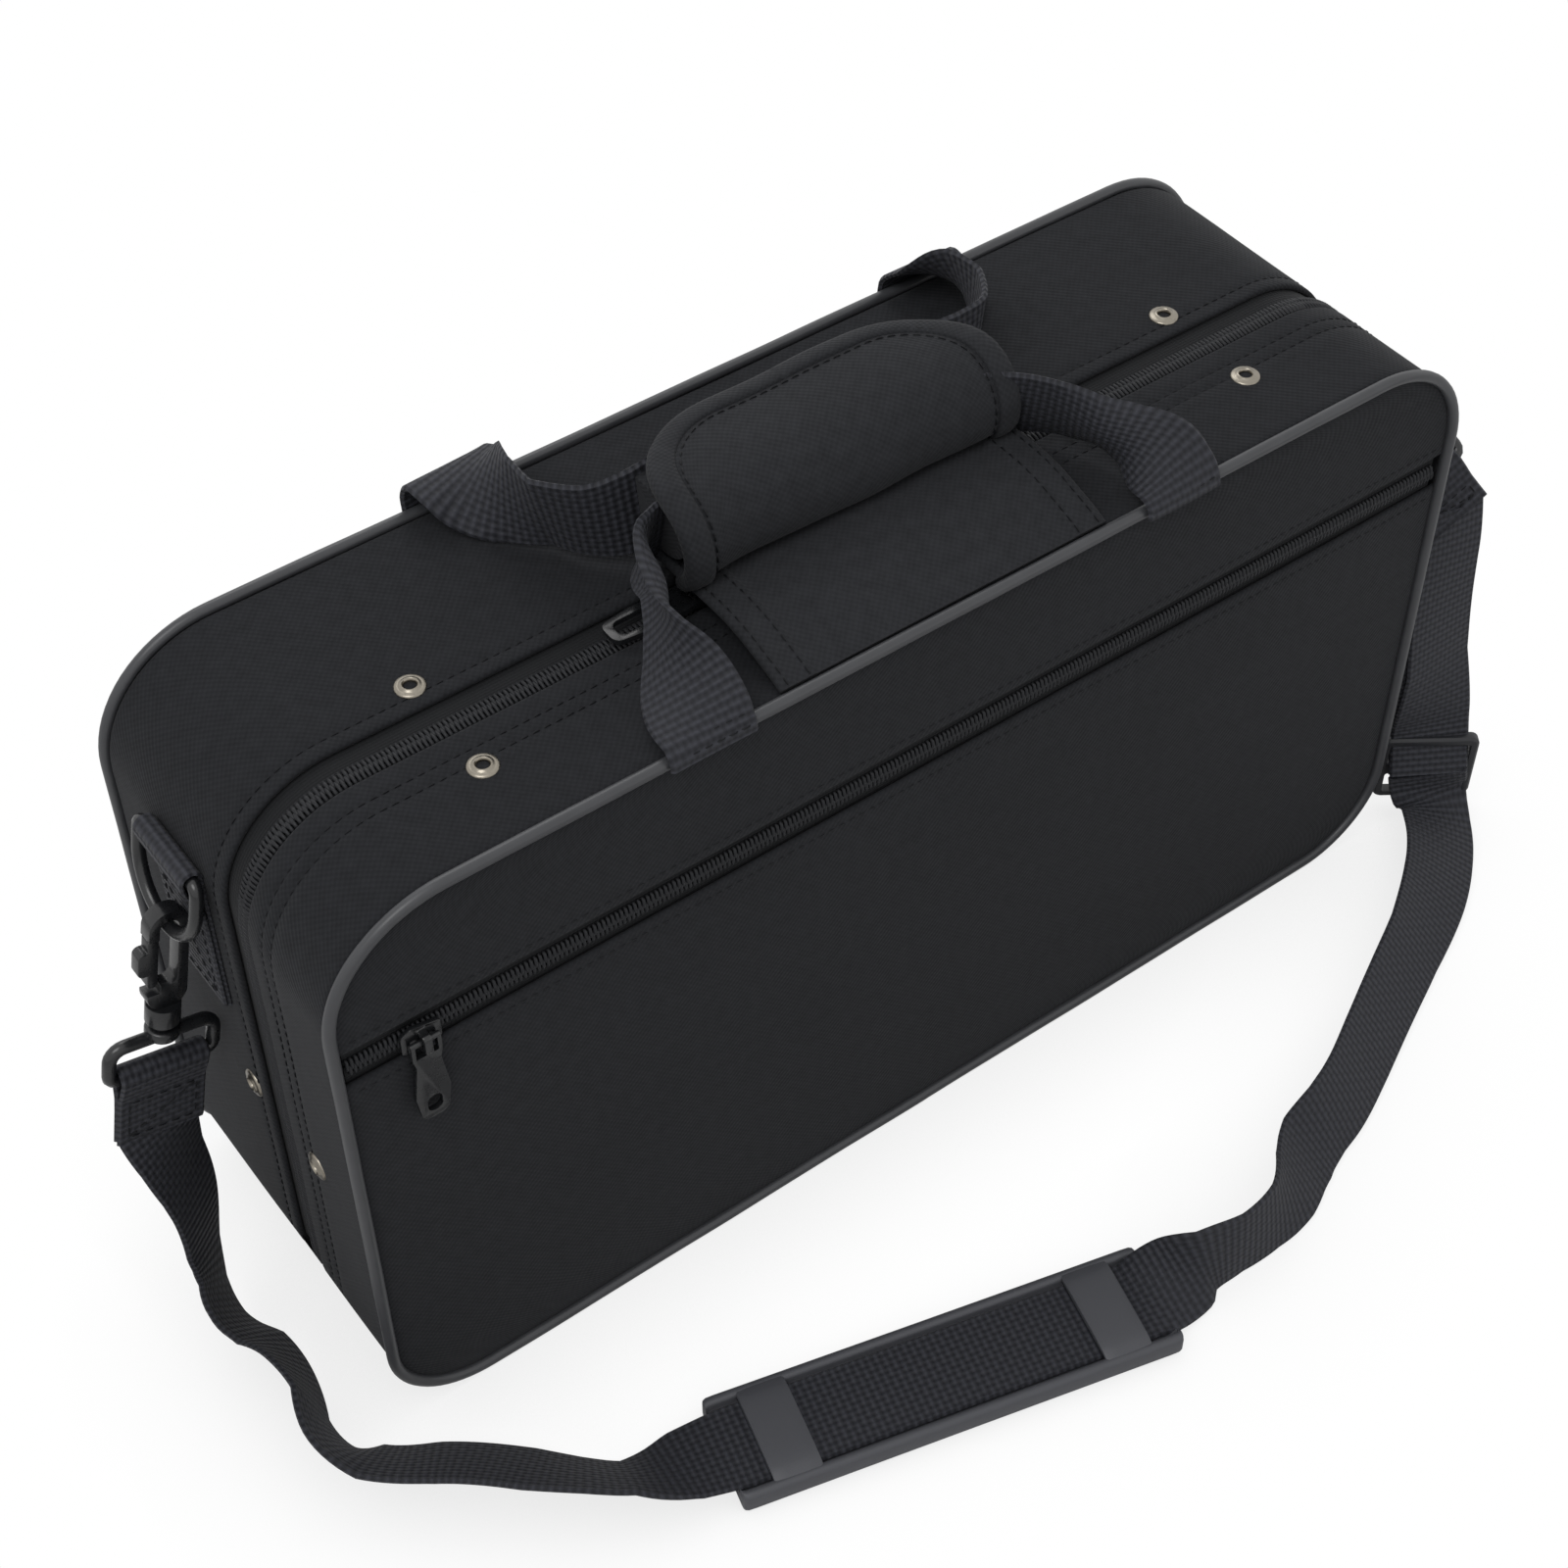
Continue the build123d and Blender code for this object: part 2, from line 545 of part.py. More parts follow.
def make_handle():
    half = GRIP_LENGTH / 2
    inner = GRIP_WRAP + GRIP_FOAM
    centre = Pos(GRIP_CENTRE_Y, (GRIP_LOW + GRIP_HIGH) / 2)

    def tube(inset, length):
        width, height = GRIP_WIDTH - 2 * inset, GRIP_HEIGHT - 2 * inset
        shape = centre * RectangleRounded(width, height, GRIP_CORNER - inset)
        return extrude(side_plane(-length / 2) * shape, length)

    mouth = block(
        (-half - 1, half + 1), (GRIP_BACK - GRIP_CORNER, GRIP_BACK + 1),
        (GRIP_LOW + MOUTH_LOW, GRIP_LOW + MOUTH_HIGH),
    )
    tongue_cut = []
    for sign in (-1, 1):
        corner = block(
            (half - TONGUE_CORNER, half + 1) if sign > 0 else (-half - 1, TONGUE_CORNER - half),
            (GRIP_BACK - inner - 1, GRIP_BACK + 1),
            (GRIP_LOW + MOUTH_HIGH - 1, GRIP_LOW + MOUTH_HIGH + TONGUE_CORNER),
        )
        round_end = Pos(sign * (half - TONGUE_CORNER), GRIP_BACK, GRIP_LOW + MOUTH_HIGH + TONGUE_CORNER)
        tongue_cut.append(corner - round_end * Rot(90, 0, 0) * Cylinder(TONGUE_CORNER, 4 * inner))
    wrap = tube(0, GRIP_LENGTH) - tube(GRIP_WRAP, GRIP_LENGTH + 2) - mouth - tongue_cut
    foam = tube(GRIP_WRAP, GRIP_LENGTH - 4) - tube(inner, GRIP_LENGTH) - mouth - tongue_cut
    band_x = HANDLE_ANCHOR_X + WEBBING_WIDTH / 2
    front_y = GRIP_FRONT + inner
    front_z = GRIP_LOW + FRONT_BAND_HEIGHT
    back_z = GRIP_LOW + BACK_BAND_HEIGHT
    back_y = GRIP_BACK + 1.0
    front_band = block((-band_x, band_x), (front_y, front_y + WEBBING_WIDTH), (front_z, front_z + WEBBING))
    back_band = block((-band_x, band_x), (back_y - WEBBING_WIDTH, back_y), (back_z, back_z + WEBBING))
    parts = {
        "grip_wrap": wrap,
        "grip_foam": foam,
        "front_handle_webbing": front_band,
        "back_handle_webbing": back_band,
    }
    gap = 0.4
    for name, sign in SIDES.items():
        low = sign * HANDLE_ANCHOR_X - WEBBING_WIDTH / 2
        front = leg(-1, front_y - gap, front_z + WEBBING / 2)
        back = leg(1, back_y + gap, back_z + WEBBING / 2)
        parts[f"front_leg_{name}"] = extrude(side_plane(low) * front, WEBBING_WIDTH)
        parts[f"back_leg_{name}"] = extrude(side_plane(low) * back, WEBBING_WIDTH)
    return parts


def make_flap():
    """Cloth flap sewn into the front seam, lying back over the zip under the grip."""
    lift = FLAP / 2
    ridge = GRIP_LOW - lift - 0.4
    points = [
        (FRONT_Y + PIPING_RADIUS + 0.8, TOP + lift + 0.3), (FRONT_Y + 24, ridge - 0.4), (FLAP_REACH_Y, ridge),
    ]
    shape = trace(FilletPolyline(*points, radius=40), FLAP)
    return extrude(side_plane(-FLAP_WIDTH / 2) * shape, FLAP_WIDTH)


# ---- side rings and hooks -------------------------------------------------------------------------
def bent_wire(path, radius):
    """Round wire bent along a path, mitred at its corners."""
    section = Plane(path @ 0, z_dir=path % 0) * Circle(radius)
    return sweep(section, path=path, transition=Transition.RIGHT)


def ring():
    """D-ring hanging from its bar at the local origin, with its width along Y."""
    half, drop, corner = RING_HALF_WIDTH, RING_STRAIGHT, RING_CORNER
    bar = side_plane(0) * Polyline(
        (-half, -drop), (-half, -corner), (corner - half, 0),
        (half - corner, 0), (half, -corner), (half, -drop),
    )
    end = Plane((0, half, -drop), x_dir=(0, 1, 0), z_dir=(0, 0, 1)) * Circle(RING_WIRE_RADIUS)
    bow = revolve(end, Axis((0, 0, -drop), (-1, 0, 0)), 180)
    return bent_wire(bar, RING_WIRE_RADIUS) + bow


def tab(sign):
    """Webbing folded round the ring's bar and sewn flat to the case's side below it."""
    bore = RING_WIRE_RADIUS + TAB_BORE_CLEARANCE
    loop = Rot(90, 0, 0) * Cylinder(bore + TAB_PLY, TAB_WIDTH)
    loop = Pos(sign * RING_BAR_X, RING_Y, RING_HEIGHT) * loop
    low = RING_HEIGHT - TAB_TAIL
    tail_x = sorted((sign * SIDE, sign * (SIDE + 2 * TAB_PLY)))
    tail = block(tail_x, (RING_Y - TAB_WIDTH / 2, RING_Y + TAB_WIDTH / 2), (low, RING_HEIGHT))
    eye = Pos(sign * RING_BAR_X, RING_Y, RING_HEIGHT) * Rot(90, 0, 0) * Cylinder(bore, 2 * TAB_WIDTH)
    past = block(sorted((sign * SIDE, sign * (SIDE - 9))), (-BACK_Y, BACK_Y), (0, TOP))
    return loop + tail - eye - past


def hook_frame():
    """Snap hook body in its own frame: the ring's wire passes through the local origin along Y."""
    height = HOOK_TOP - HOOK_FOOT
    middle = (HOOK_TOP + HOOK_FOOT) / 2
    shape = Pos(0, middle) * RectangleRounded(HOOK_WIDTH, height, HOOK_WIDTH / 2 - 0.1)
    window_width = HOOK_WIDTH - 2 * HOOK_WALL
    window_top = RING_WIRE_RADIUS + HOOK_CLEARANCE
    window = Pos(0, (window_top + HOOK_WINDOW_FOOT) / 2) * RectangleRounded(
        window_width, window_top - HOOK_WINDOW_FOOT, window_width / 2 - 0.1
    )
    gate_cut = Pos(-HOOK_WIDTH / 2, (HOOK_NOSE + HOOK_WINDOW_FOOT) / 2 - 1) * Rectangle(
        2 * HOOK_WALL + 1.2, HOOK_NOSE - HOOK_WINDOW_FOOT + 2
    )
    frame = extrude(Plane.XZ * (shape - window - gate_cut), HOOK_THICKNESS / 2, both=True)
    barrel = Pos(0, 0, HOOK_FOOT - 2.4) * Cylinder(SWIVEL_RADIUS, 6.0)
    waist = Pos(0, 0, HOOK_FOOT - 6.6) * Cylinder(SWIVEL_WAIST_RADIUS, 2.6)
    return frame + barrel + waist


def hook_gate():
    """Sprung gate on the hook's -X side, pivoted at its foot, with a thumb tab."""
    low, high = HOOK_WINDOW_FOOT, HOOK_NOSE - GATE_CLEARANCE
    half = HOOK_WIDTH / 2
    lever = block((-half, -half + HOOK_WALL), (-1.9, 1.9), (low + 1.9, high))
    thumb = block((-half - 2.6, -half + 1), (-1.9, 1.9), (low + 5, low + 13))
    thumb = fillet(thumb.edges().filter_by(Axis.Y).group_by(Axis.X)[0], 1.8)
    pivot = Pos(-half + HOOK_WALL / 2, 0, low + 1.9) * Rot(90, 0, 0) * Cylinder(HOOK_WALL / 2, 3.8)
    return lever + thumb + pivot


def swivel_eye():
    """Eye on the hook's swivel post; the strap is sewn round its lower bar."""
    top = -EYE_DROP + EYE_HEIGHT
    shape = Pos(0, -EYE_DROP + EYE_HEIGHT / 2) * Rectangle(2 * EYE_HALF_WIDTH, EYE_HEIGHT)
    shape = chamfer(shape.vertices().group_by(Axis.Y)[0], EYE_LOW_CORNER)
    shape = chamfer(shape.vertices().group_by(Axis.Y)[-1], EYE_HIGH_CORNER)
    collar_top = HOOK_FOOT - 8.0
    collar = Pos(0, 0, (collar_top + top) / 2) * Cylinder(SWIVEL_RADIUS, collar_top - top)
    loop = (Plane.XZ * shape).face().outer_wire()
    return bent_wire(loop, EYE_WIRE_RADIUS) + collar


def clip_places(name, sign):
    """Places of the ring and of the hook on one side of the case; the hook slides round the ring's arc."""
    ring_place = Pos(sign * RING_BAR_X, RING_Y, RING_HEIGHT) * Rot(0, -sign * RING_TILT[name], 0)
    arc_centre = Pos(0, 0, -RING_STRAIGHT)
    hook_place = ring_place * arc_centre * Rot(HOOK_SWING[name], 0, 0) * Pos(0, 0, -RING_HALF_WIDTH)
    if sign > 0:
        hook_place = hook_place * Rot(0, 0, 180)
    return ring_place, hook_place


def make_clips():
    parts = {}
    for name, sign in SIDES.items():
        ring_place, hook_place = clip_places(name, sign)
        parts[f"{name}_ring_tab"] = tab(sign)
        parts[f"{name}_d_ring"] = ring_place * ring()
        parts[f"{name}_hook"] = hook_place * hook_frame()
        parts[f"{name}_hook_gate"] = hook_place * hook_gate()
        parts[f"{name}_swivel_eye"] = hook_place * swivel_eye()
        strap_end = sewn_loop(STRAP_END_LENGTH[name])
        parts[f"strap_end_{name}"] = hook_place * Pos(0, 0, -EYE_DROP) * strap_end
    return parts


# ---- shoulder strap -------------------------------------------------------------------------------
def sewn_loop(length):
    """Webbing folded round an eye's bar at the local origin and sewn to itself, leading down."""
    radius = EYE_WIRE_RADIUS + 0.2
    eye = Cylinder(radius + STRAP, STRAP_WIDTH)
    plies = block((0, radius + length), (-STRAP, STRAP), (-STRAP_WIDTH / 2, STRAP_WIDTH / 2))
    return side_plane(0).location * Rot(0, 0, -90) * (eye + plies - Cylinder(radius, 2 * STRAP_WIDTH))


def pad_place():
    return Pos(*PAD_CENTRE, 0) * Rot(0, 0, PAD_ANGLE)


def pad_point(distance):
    """Point in plan on the pad's centre line, that far from its middle."""
    angle = radians(PAD_ANGLE)
    return (PAD_CENTRE[0] + distance * cos(angle), PAD_CENTRE[1] + distance * sin(angle))


def make_pad():
    """Moulded shoulder pad with raised lips, and the two keepers that hold the webbing on it."""
    half_width = PAD_WIDTH / 2
    section = Polygon(
        (-half_width, 1.2), (-half_width + 1.2, STRAP_LIFT), (half_width - 1.2, STRAP_LIFT),
        (half_width, 1.2), (half_width, PAD_BASE + PAD_LIP - 1), (half_width - 1, PAD_BASE + PAD_LIP),
        (half_width - PAD_LIP_WIDTH, PAD_BASE + PAD_LIP), (half_width - PAD_LIP_WIDTH - 0.6, PAD_BASE),
        (-half_width + PAD_LIP_WIDTH + 0.6, PAD_BASE), (-half_width + PAD_LIP_WIDTH, PAD_BASE + PAD_LIP),
        (-half_width + 1, PAD_BASE + PAD_LIP), (-half_width, PAD_BASE + PAD_LIP - 1), align=None,
    )
    pad = extrude(side_plane(-PAD_LENGTH / 2) * section, PAD_LENGTH)
    webbing_top = PAD_BASE + 0.2 + STRAP
    keepers = []
    for sign in (-1, 1):
        x = sign * (PAD_LENGTH / 2 - KEEPER_INSET - KEEPER_LENGTH / 2)
        keeper = block(
            (x - KEEPER_LENGTH / 2, x + KEEPER_LENGTH / 2),
            (-half_width + 0.6, half_width - 0.6), (webbing_top + 0.2, PAD_BASE + PAD_LIP + KEEPER),
        )
        room = block(
            (x - KEEPER_LENGTH, x + KEEPER_LENGTH),
            (-half_width, -half_width + PAD_LIP_WIDTH + 0.7), (0, PAD_BASE + PAD_LIP),
        )
        keepers.append(keeper - room - mirror(room, about=Plane.XZ))
    half, low, high = PAD_LENGTH / 2, STRAP_LIFT + STRAP / 2, PAD_BASE + 0.2 + STRAP / 2
    rise = [
        (-PAD_STRAP_END, low), (-PAD_STRAP_END + 5, low), (-half - 1, high), (-half + 12, high + 0.01),
        (half - 12, high + 0.01), (half + 1, high), (PAD_STRAP_END - 5, low), (PAD_STRAP_END, low),
    ]
    line = FilletPolyline(*rise, radius=PAD_STRAP_BEND)
    webbing = Rot(90, 0, 0) * extrude(trace(line, STRAP), STRAP_WIDTH / 2, both=True)
    place = pad_place()
    return {
        "shoulder_pad": place * pad,
        "pad_keepers": [place * keeper for keeper in keepers],
        "strap_on_pad": place * webbing,
    }


def adjuster(place):
    """Three-bar slide: two slots and a middle bar."""
    frame = RectangleRounded(ADJUSTER_WIDTH, ADJUSTER_HEIGHT, 3)
    slot_height = (ADJUSTER_HEIGHT - 2 * ADJUSTER_FRAME - ADJUSTER_BAR) / 2
    offset = (ADJUSTER_BAR + slot_height) / 2
    slots = [Pos(0, side * offset) * RectangleRounded(STRAP_WIDTH + 0.8, slot_height, 1) for side in (-1, 1)]
    plate = extrude(frame - slots, ADJUSTER_THICKNESS / 2, both=True)
    edges = plate.faces().sort_by(Axis.Z)[-1].outer_wire().edges()
    return place * chamfer(edges, 0.8)


def strap_routes():
    left = LEFT_ROUTE + [pad_point(-PAD_STRAP_END - 14), pad_point(-PAD_STRAP_END - 0.1)]
    right = [pad_point(PAD_STRAP_END + 0.1), pad_point(PAD_STRAP_END + 18)] + RIGHT_ROUTE
    return {
        "left_drop": LEFT_DROP_ROUTE,
        "left": left,
        "right": right,
        "rise": RISE_ROUTE,
        "upper": UPPER_ROUTE,
    }


def make_strap():
    routes = strap_routes()
    adjuster_z = (UPPER_ROUTE[-1][1] + RISE_ROUTE[0][1]) / 2
    adjuster_place = Pos(STRAP_RIGHT_X, RISE_ROUTE[0][0], adjuster_z) * Rot(90, 0, 0)
    parts = make_pad()
    parts["strap_left_drop"] = side_webbing(routes["left_drop"], LEFT_ROUTE[0][0], STRAP_WIDTH, STRAP)
    parts["strap_left"] = floor_webbing(routes["left"])
    parts["strap_right"] = floor_webbing(routes["right"])
    parts["strap_upper"] = side_webbing(routes["upper"], STRAP_RIGHT_X, STRAP_WIDTH, 2 * STRAP)
    parts["strap_rise"] = side_webbing(routes["rise"], STRAP_RIGHT_X, STRAP_WIDTH, STRAP)
    parts["strap_adjuster"] = adjuster(adjuster_place)
    return parts


# ---- assembly -------------------------------------------------------------------------------------
def build():
    parts = make_base_shell()
    parts.update(make_lid_shell())
    parts["base_insert"] = make_insert()
    parts["lid_pad"] = make_lid_pad()
    parts.update(make_pocket())
    parts.update(make_zip_tapes())
    parts.update(make_hinge_leaves())
    parts.update(make_rivets())
    parts.update(make_handle())
    parts["zip_flap"] = make_flap()
    parts.update(make_sliders())
    parts.update(make_clips())
    parts.update(make_strap())
    return parts


def main():
    os.makedirs("parts", exist_ok=True)
    for name, shape in build().items():
        solids = shape if isinstance(shape, list) else [shape]
        node = Compound(label=name, children=[s for solid in solids for s in solid.solids()])
        export_step(node, f"parts/{name}.step")
    for label, route in strap_routes().items():
        print(label, "strap radii", [round(r, 1) for r in corner_radii(route)])


main()
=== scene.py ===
import json
from math import cos, hypot, pi, radians, sin, sqrt, tau

import bmesh
import bpy
import numpy as np
from mathutils import Matrix, Vector

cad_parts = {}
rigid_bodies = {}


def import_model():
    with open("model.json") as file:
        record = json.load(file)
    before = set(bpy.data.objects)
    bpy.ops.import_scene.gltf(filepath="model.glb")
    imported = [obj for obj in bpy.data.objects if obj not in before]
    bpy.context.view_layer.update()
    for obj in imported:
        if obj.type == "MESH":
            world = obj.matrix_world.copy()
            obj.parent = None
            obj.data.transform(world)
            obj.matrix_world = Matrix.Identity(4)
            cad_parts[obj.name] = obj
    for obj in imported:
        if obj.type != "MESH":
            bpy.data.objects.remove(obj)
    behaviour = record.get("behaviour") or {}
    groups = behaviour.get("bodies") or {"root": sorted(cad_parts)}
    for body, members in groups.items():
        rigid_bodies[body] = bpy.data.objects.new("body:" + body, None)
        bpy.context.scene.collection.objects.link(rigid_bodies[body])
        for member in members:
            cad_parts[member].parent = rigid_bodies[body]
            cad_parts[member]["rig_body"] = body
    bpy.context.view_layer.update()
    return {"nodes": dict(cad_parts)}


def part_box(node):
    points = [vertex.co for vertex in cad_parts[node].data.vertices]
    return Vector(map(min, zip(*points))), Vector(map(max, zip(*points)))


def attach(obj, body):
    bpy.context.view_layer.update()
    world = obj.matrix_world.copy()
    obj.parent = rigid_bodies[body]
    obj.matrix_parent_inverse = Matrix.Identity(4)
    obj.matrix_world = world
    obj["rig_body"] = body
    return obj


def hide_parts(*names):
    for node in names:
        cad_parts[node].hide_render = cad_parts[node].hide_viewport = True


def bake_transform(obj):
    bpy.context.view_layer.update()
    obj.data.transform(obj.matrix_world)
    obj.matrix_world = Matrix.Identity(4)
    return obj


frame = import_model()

bl_info = {
    "name": "Soft clarinet case",
    "version": (1, 0, 0),
    "blender": (4, 5, 0),
    "location": "View3D > Sidebar > Clarinet Case",
    "description": "Builds the cloth, webbing, zips, fittings and padding of a soft clarinet case on its CAD frame",
    "category": "Object",
}

# ---- places on the case, in millimetres -----------------------------------------------------------
FLOOR, TOP, SIDE = 1.7, 196.7, 180.0
BACK, FRONT, ZIP = 55.2, -55.2, -14.0
TOP_RADIUS, BOTTOM_RADIUS = 34.0, 28.0
ZIP_END = 25.7
POCKET_ZIP = 150.7
GRIP_HALF = 50.5
PAD_X, PAD_Y, PAD_TURN = -56.5, -134.0, -14.4
RING_BAR, RING_Y, RING_Z = 183.1, 16.0, 167.0
RIVET_X, RIVET_Z = 120.0, 87.7
EYE_BAR = -50.0
WEBBING = 25.0
CLOTH_SHARP = 70
RING_TILT = {"left": 12.0, "right": 20.0}
HOOK_SWING = {"left": 0.0, "right": -52.0}
SIDES = {"left": -1, "right": 1}
MM = 0.001


# ---- settings a user would change -----------------------------------------------------------------
class CaseSizes(bpy.types.PropertyGroup):
    """Sizes of the cloth, webbing, stitches and pile."""

    thread_pitch: bpy.props.FloatProperty(
        name="Cloth thread pitch", description="Distance between the threads of the case cloth",
        default=0.00095, min=0.0003, max=0.003, unit="LENGTH")
    rib_pitch: bpy.props.FloatProperty(
        name="Webbing rib pitch", description="Distance between the crosswise ribs of the webbing",
        default=0.0021, min=0.001, max=0.005, unit="LENGTH")
    warp_pitch: bpy.props.FloatProperty(
        name="Webbing warp pitch", description="Distance between the lengthwise columns of the webbing",
        default=0.00178, min=0.001, max=0.005, unit="LENGTH")
    stitch_pitch: bpy.props.FloatProperty(
        name="Stitch pitch", description="Distance from one stitch to the next",
        default=0.0032, min=0.0015, max=0.008, unit="LENGTH")
    tooth_pitch: bpy.props.FloatProperty(
        name="Zip tooth pitch", description="Distance between the turns of the zip's coil",
        default=0.0013, min=0.0008, max=0.003, unit="LENGTH")
    pile_grain: bpy.props.FloatProperty(
        name="Plush grain", description="Size of the tufts of the lining's pile",
        default=0.0016, min=0.0005, max=0.006, unit="LENGTH")


class CaseColours(bpy.types.PropertyGroup):
    """Colours as sRGB hex values."""

    cloth: bpy.props.StringProperty(name="Case cloth", description="Woven cover", default="#26272a")
    # Painted light: the grip and flap get the case cloth painted paler, standing in for the lamp light on their
    # upward faces.
    handle_cloth: bpy.props.StringProperty(name="Handle cloth", description="Cover of grip and flap, painted paler for the light on top",
                                           default="#2e2f32")
    webbing: bpy.props.StringProperty(name="Webbing", description="Strap and handle webbing", default="#36373d")
    piping: bpy.props.StringProperty(name="Piping", description="Covered cord on the edges", default="#434447")
    zip_tape: bpy.props.StringProperty(name="Zip tape", description="Knitted tape", default="#1b1c1e")
    zip_coil: bpy.props.StringProperty(name="Zip coil", description="Nylon coil", default="#222326")
    thread: bpy.props.StringProperty(name="Thread", description="Sewing thread", default="#131417")
    enamel: bpy.props.StringProperty(name="Fittings", description="Enamelled metal", default="#1b1c1e")
    moulding: bpy.props.StringProperty(name="Mouldings", description="Moulded plastic", default="#232428")
    rivet: bpy.props.StringProperty(name="Rivets", description="Plated rivets", default="#8f897e")
    rubber: bpy.props.StringProperty(name="Pad", description="Moulded shoulder pad", default="#515257")
    plush: bpy.props.StringProperty(name="Plush", description="Pile lining", default="#2a2c33")
    board: bpy.props.StringProperty(name="Board", description="Stiffening board", default="#3a3a3c")
    floor: bpy.props.StringProperty(name="Floor", description="Pale studio floor", default="#f2f2f2")


def sizes():
    """The sizes as the panel has them now."""
    return bpy.context.scene.case_sizes


def colours():
    """The colours as the panel has them now."""
    return bpy.context.scene.case_colours


# ---- materials ------------------------------------------------------------------------------------
def linear(hex_value, gain=1.0):
    """sRGB hex to the linear colour that a shader takes."""
    channels = [int(hex_value[i:i + 2], 16) / 255 for i in (1, 3, 5)]
    curve = [c / 12.92 if c <= 0.04045 else ((c + 0.055) / 1.055) ** 2.4 for c in channels]
    return [min(1.0, c * gain) for c in curve] + [1.0]


def add_node(tree, kind, inputs=None, **settings):
    """A node with its settings, and each input either linked to a socket or set to a value."""
    node = tree.nodes.new(kind)
    for name, value in settings.items():
        setattr(node, name, value)
    for key, value in (inputs or {}).items():
        if isinstance(value, bpy.types.NodeSocket):
            tree.links.new(value, node.inputs[key])
        else:
            node.inputs[key].default_value = value
    return node


def surface_material(name, roughness, shader=None):
    """A new material with its node tree and its one shader, which takes the given constants."""
    material = bpy.data.materials.new(name)
    material.use_nodes = True
    tree = material.node_tree
    bsdf = tree.nodes["Principled BSDF"]
    bsdf.inputs["Roughness"].default_value = roughness
    for key, value in (shader or {}).items():
        bsdf.inputs[key].default_value = value
    return material, tree, bsdf


def maths(tree, operation, *values):
    """One arithmetic step between sockets or numbers."""
    return add_node(tree, "ShaderNodeMath", dict(enumerate(values)), operation=operation).outputs[0]


def wave(tree, coordinate, pitch, phase=0.0):
    """Cosine of a coordinate in metres, one turn to a pitch."""
    turns = maths(tree, "MULTIPLY_ADD", coordinate, tau / pitch, phase)
    return maths(tree, "COSINE", turns)


def faced(tree, bsdf, colour, gains, factor, height, strength, distance):
    """Shades a surface between two gains of its colour, and presses its relief."""
    dark, light = (linear(colour, gain) for gain in gains)
    shade = add_node(tree, "ShaderNodeMix", {0: factor, 6: dark, 7: light}, data_type="RGBA")
    tree.links.new(shade.outputs[2], bsdf.inputs["Base Color"])
    bump = add_node(tree, "ShaderNodeBump", {"Height": height, "Strength": strength, "Distance": distance})
    tree.links.new(bump.outputs[0], bsdf.inputs["Normal"])


def cloth_coordinates(tree):
    """The cloth's own lengthwise and crosswise distance in metres."""
    uv = add_node(tree, "ShaderNodeUVMap", uv_map="cloth")
    split = add_node(tree, "ShaderNodeSeparateXYZ", {0: uv.outputs[0]})
    return uv.outputs[0], split.outputs[0], split.outputs[1]


def woven_polyester(name, colour):
    """Plain-woven polyester canvas with a coated back: a fine grid of threads, dull, with a soft sheen.
    Its real threads stand about half a millimetre apart; they are drawn about twice as coarse to show."""
    material, tree, bsdf = surface_material(name, 0.85, {"Specular IOR Level": 0.14, "Sheen Weight": 0.05,
                                                         "Sheen Roughness": 0.5})
    pitch = sizes().thread_pitch
    place, along, across = cloth_coordinates(tree)
    over = maths(tree, "MULTIPLY", wave(tree, along, 2 * pitch), wave(tree, across, 2 * pitch))
    slub = add_node(tree, "ShaderNodeTexNoise", {"Vector": place, "Scale": 0.25 / pitch, "Detail": 3.0})
    cloud = add_node(tree, "ShaderNodeTexNoise", {"Vector": place, "Scale": 22.0, "Detail": 2.0})
    height = maths(tree, "MULTIPLY_ADD", slub.outputs[0], 1.6, over)
    tone = maths(tree, "MULTIPLY_ADD", over, 0.22, slub.outputs[0])
    tone = maths(tree, "MULTIPLY_ADD", cloud.outputs[0], 0.35, tone)
    span = add_node(tree, "ShaderNodeMapRange", {0: tone, 1: 0.25, 2: 1.15, 3: 0.0, 4: 1.0})
    faced(tree, bsdf, colour, (0.72, 1.32), span.outputs[0], height, 0.35, 0.0002)
    return material


def polypropylene_webbing(name, colour):
    """Woven polypropylene webbing: crosswise ribs broken into staggered columns, a little glossy on the
    crowns of the yarn and dark between them."""
    material, tree, bsdf = surface_material(name, 0.62, {"Specular IOR Level": 0.22, "Sheen Weight": 0.04})
    place, along, across = cloth_coordinates(tree)
    rib, warp = sizes().rib_pitch, sizes().warp_pitch
    ridges = wave(tree, along, rib)
    bricks = maths(tree, "MULTIPLY", wave(tree, across, 2 * warp), wave(tree, along, 2 * rib))
    columns = wave(tree, across, warp, pi)
    height = maths(tree, "MULTIPLY_ADD", bricks, 0.5, ridges)
    height = maths(tree, "MULTIPLY_ADD", columns, 0.35, height)
    fibre = add_node(tree, "ShaderNodeTexNoise", {"Vector": place, "Scale": 1800.0, "Detail": 2.0})
    height = maths(tree, "MULTIPLY_ADD", fibre.outputs[0], 0.5, height)
    span = add_node(tree, "ShaderNodeMapRange", {0: height, 1: -1.2, 2: 1.7, 3: 0.0, 4: 1.0})
    faced(tree, bsdf, colour, (0.42, 1.35), span.outputs[0], height, 0.55, 0.00035)
    return material


def extruded_vinyl(name, colour):
    """Soft vinyl drawn over a cord: smooth and satin, with long highlights and faint dents."""
    material, tree, bsdf = surface_material(name, 0.36, {"Specular IOR Level": 0.5})
    place = add_node(tree, "ShaderNodeTexCoord").outputs["Object"]
    dents = add_node(tree, "ShaderNodeTexNoise", {"Vector": place, "Scale": 160.0, "Detail": 2.0})
    rough = add_node(tree, "ShaderNodeMapRange", {0: dents.outputs[0], 3: 0.30, 4: 0.46})
    tree.links.new(rough.outputs[0], bsdf.inputs["Roughness"])
    faced(tree, bsdf, colour, (0.8, 1.15), dents.outputs[0], dents.outputs[0], 0.12, 0.0004)
    return material


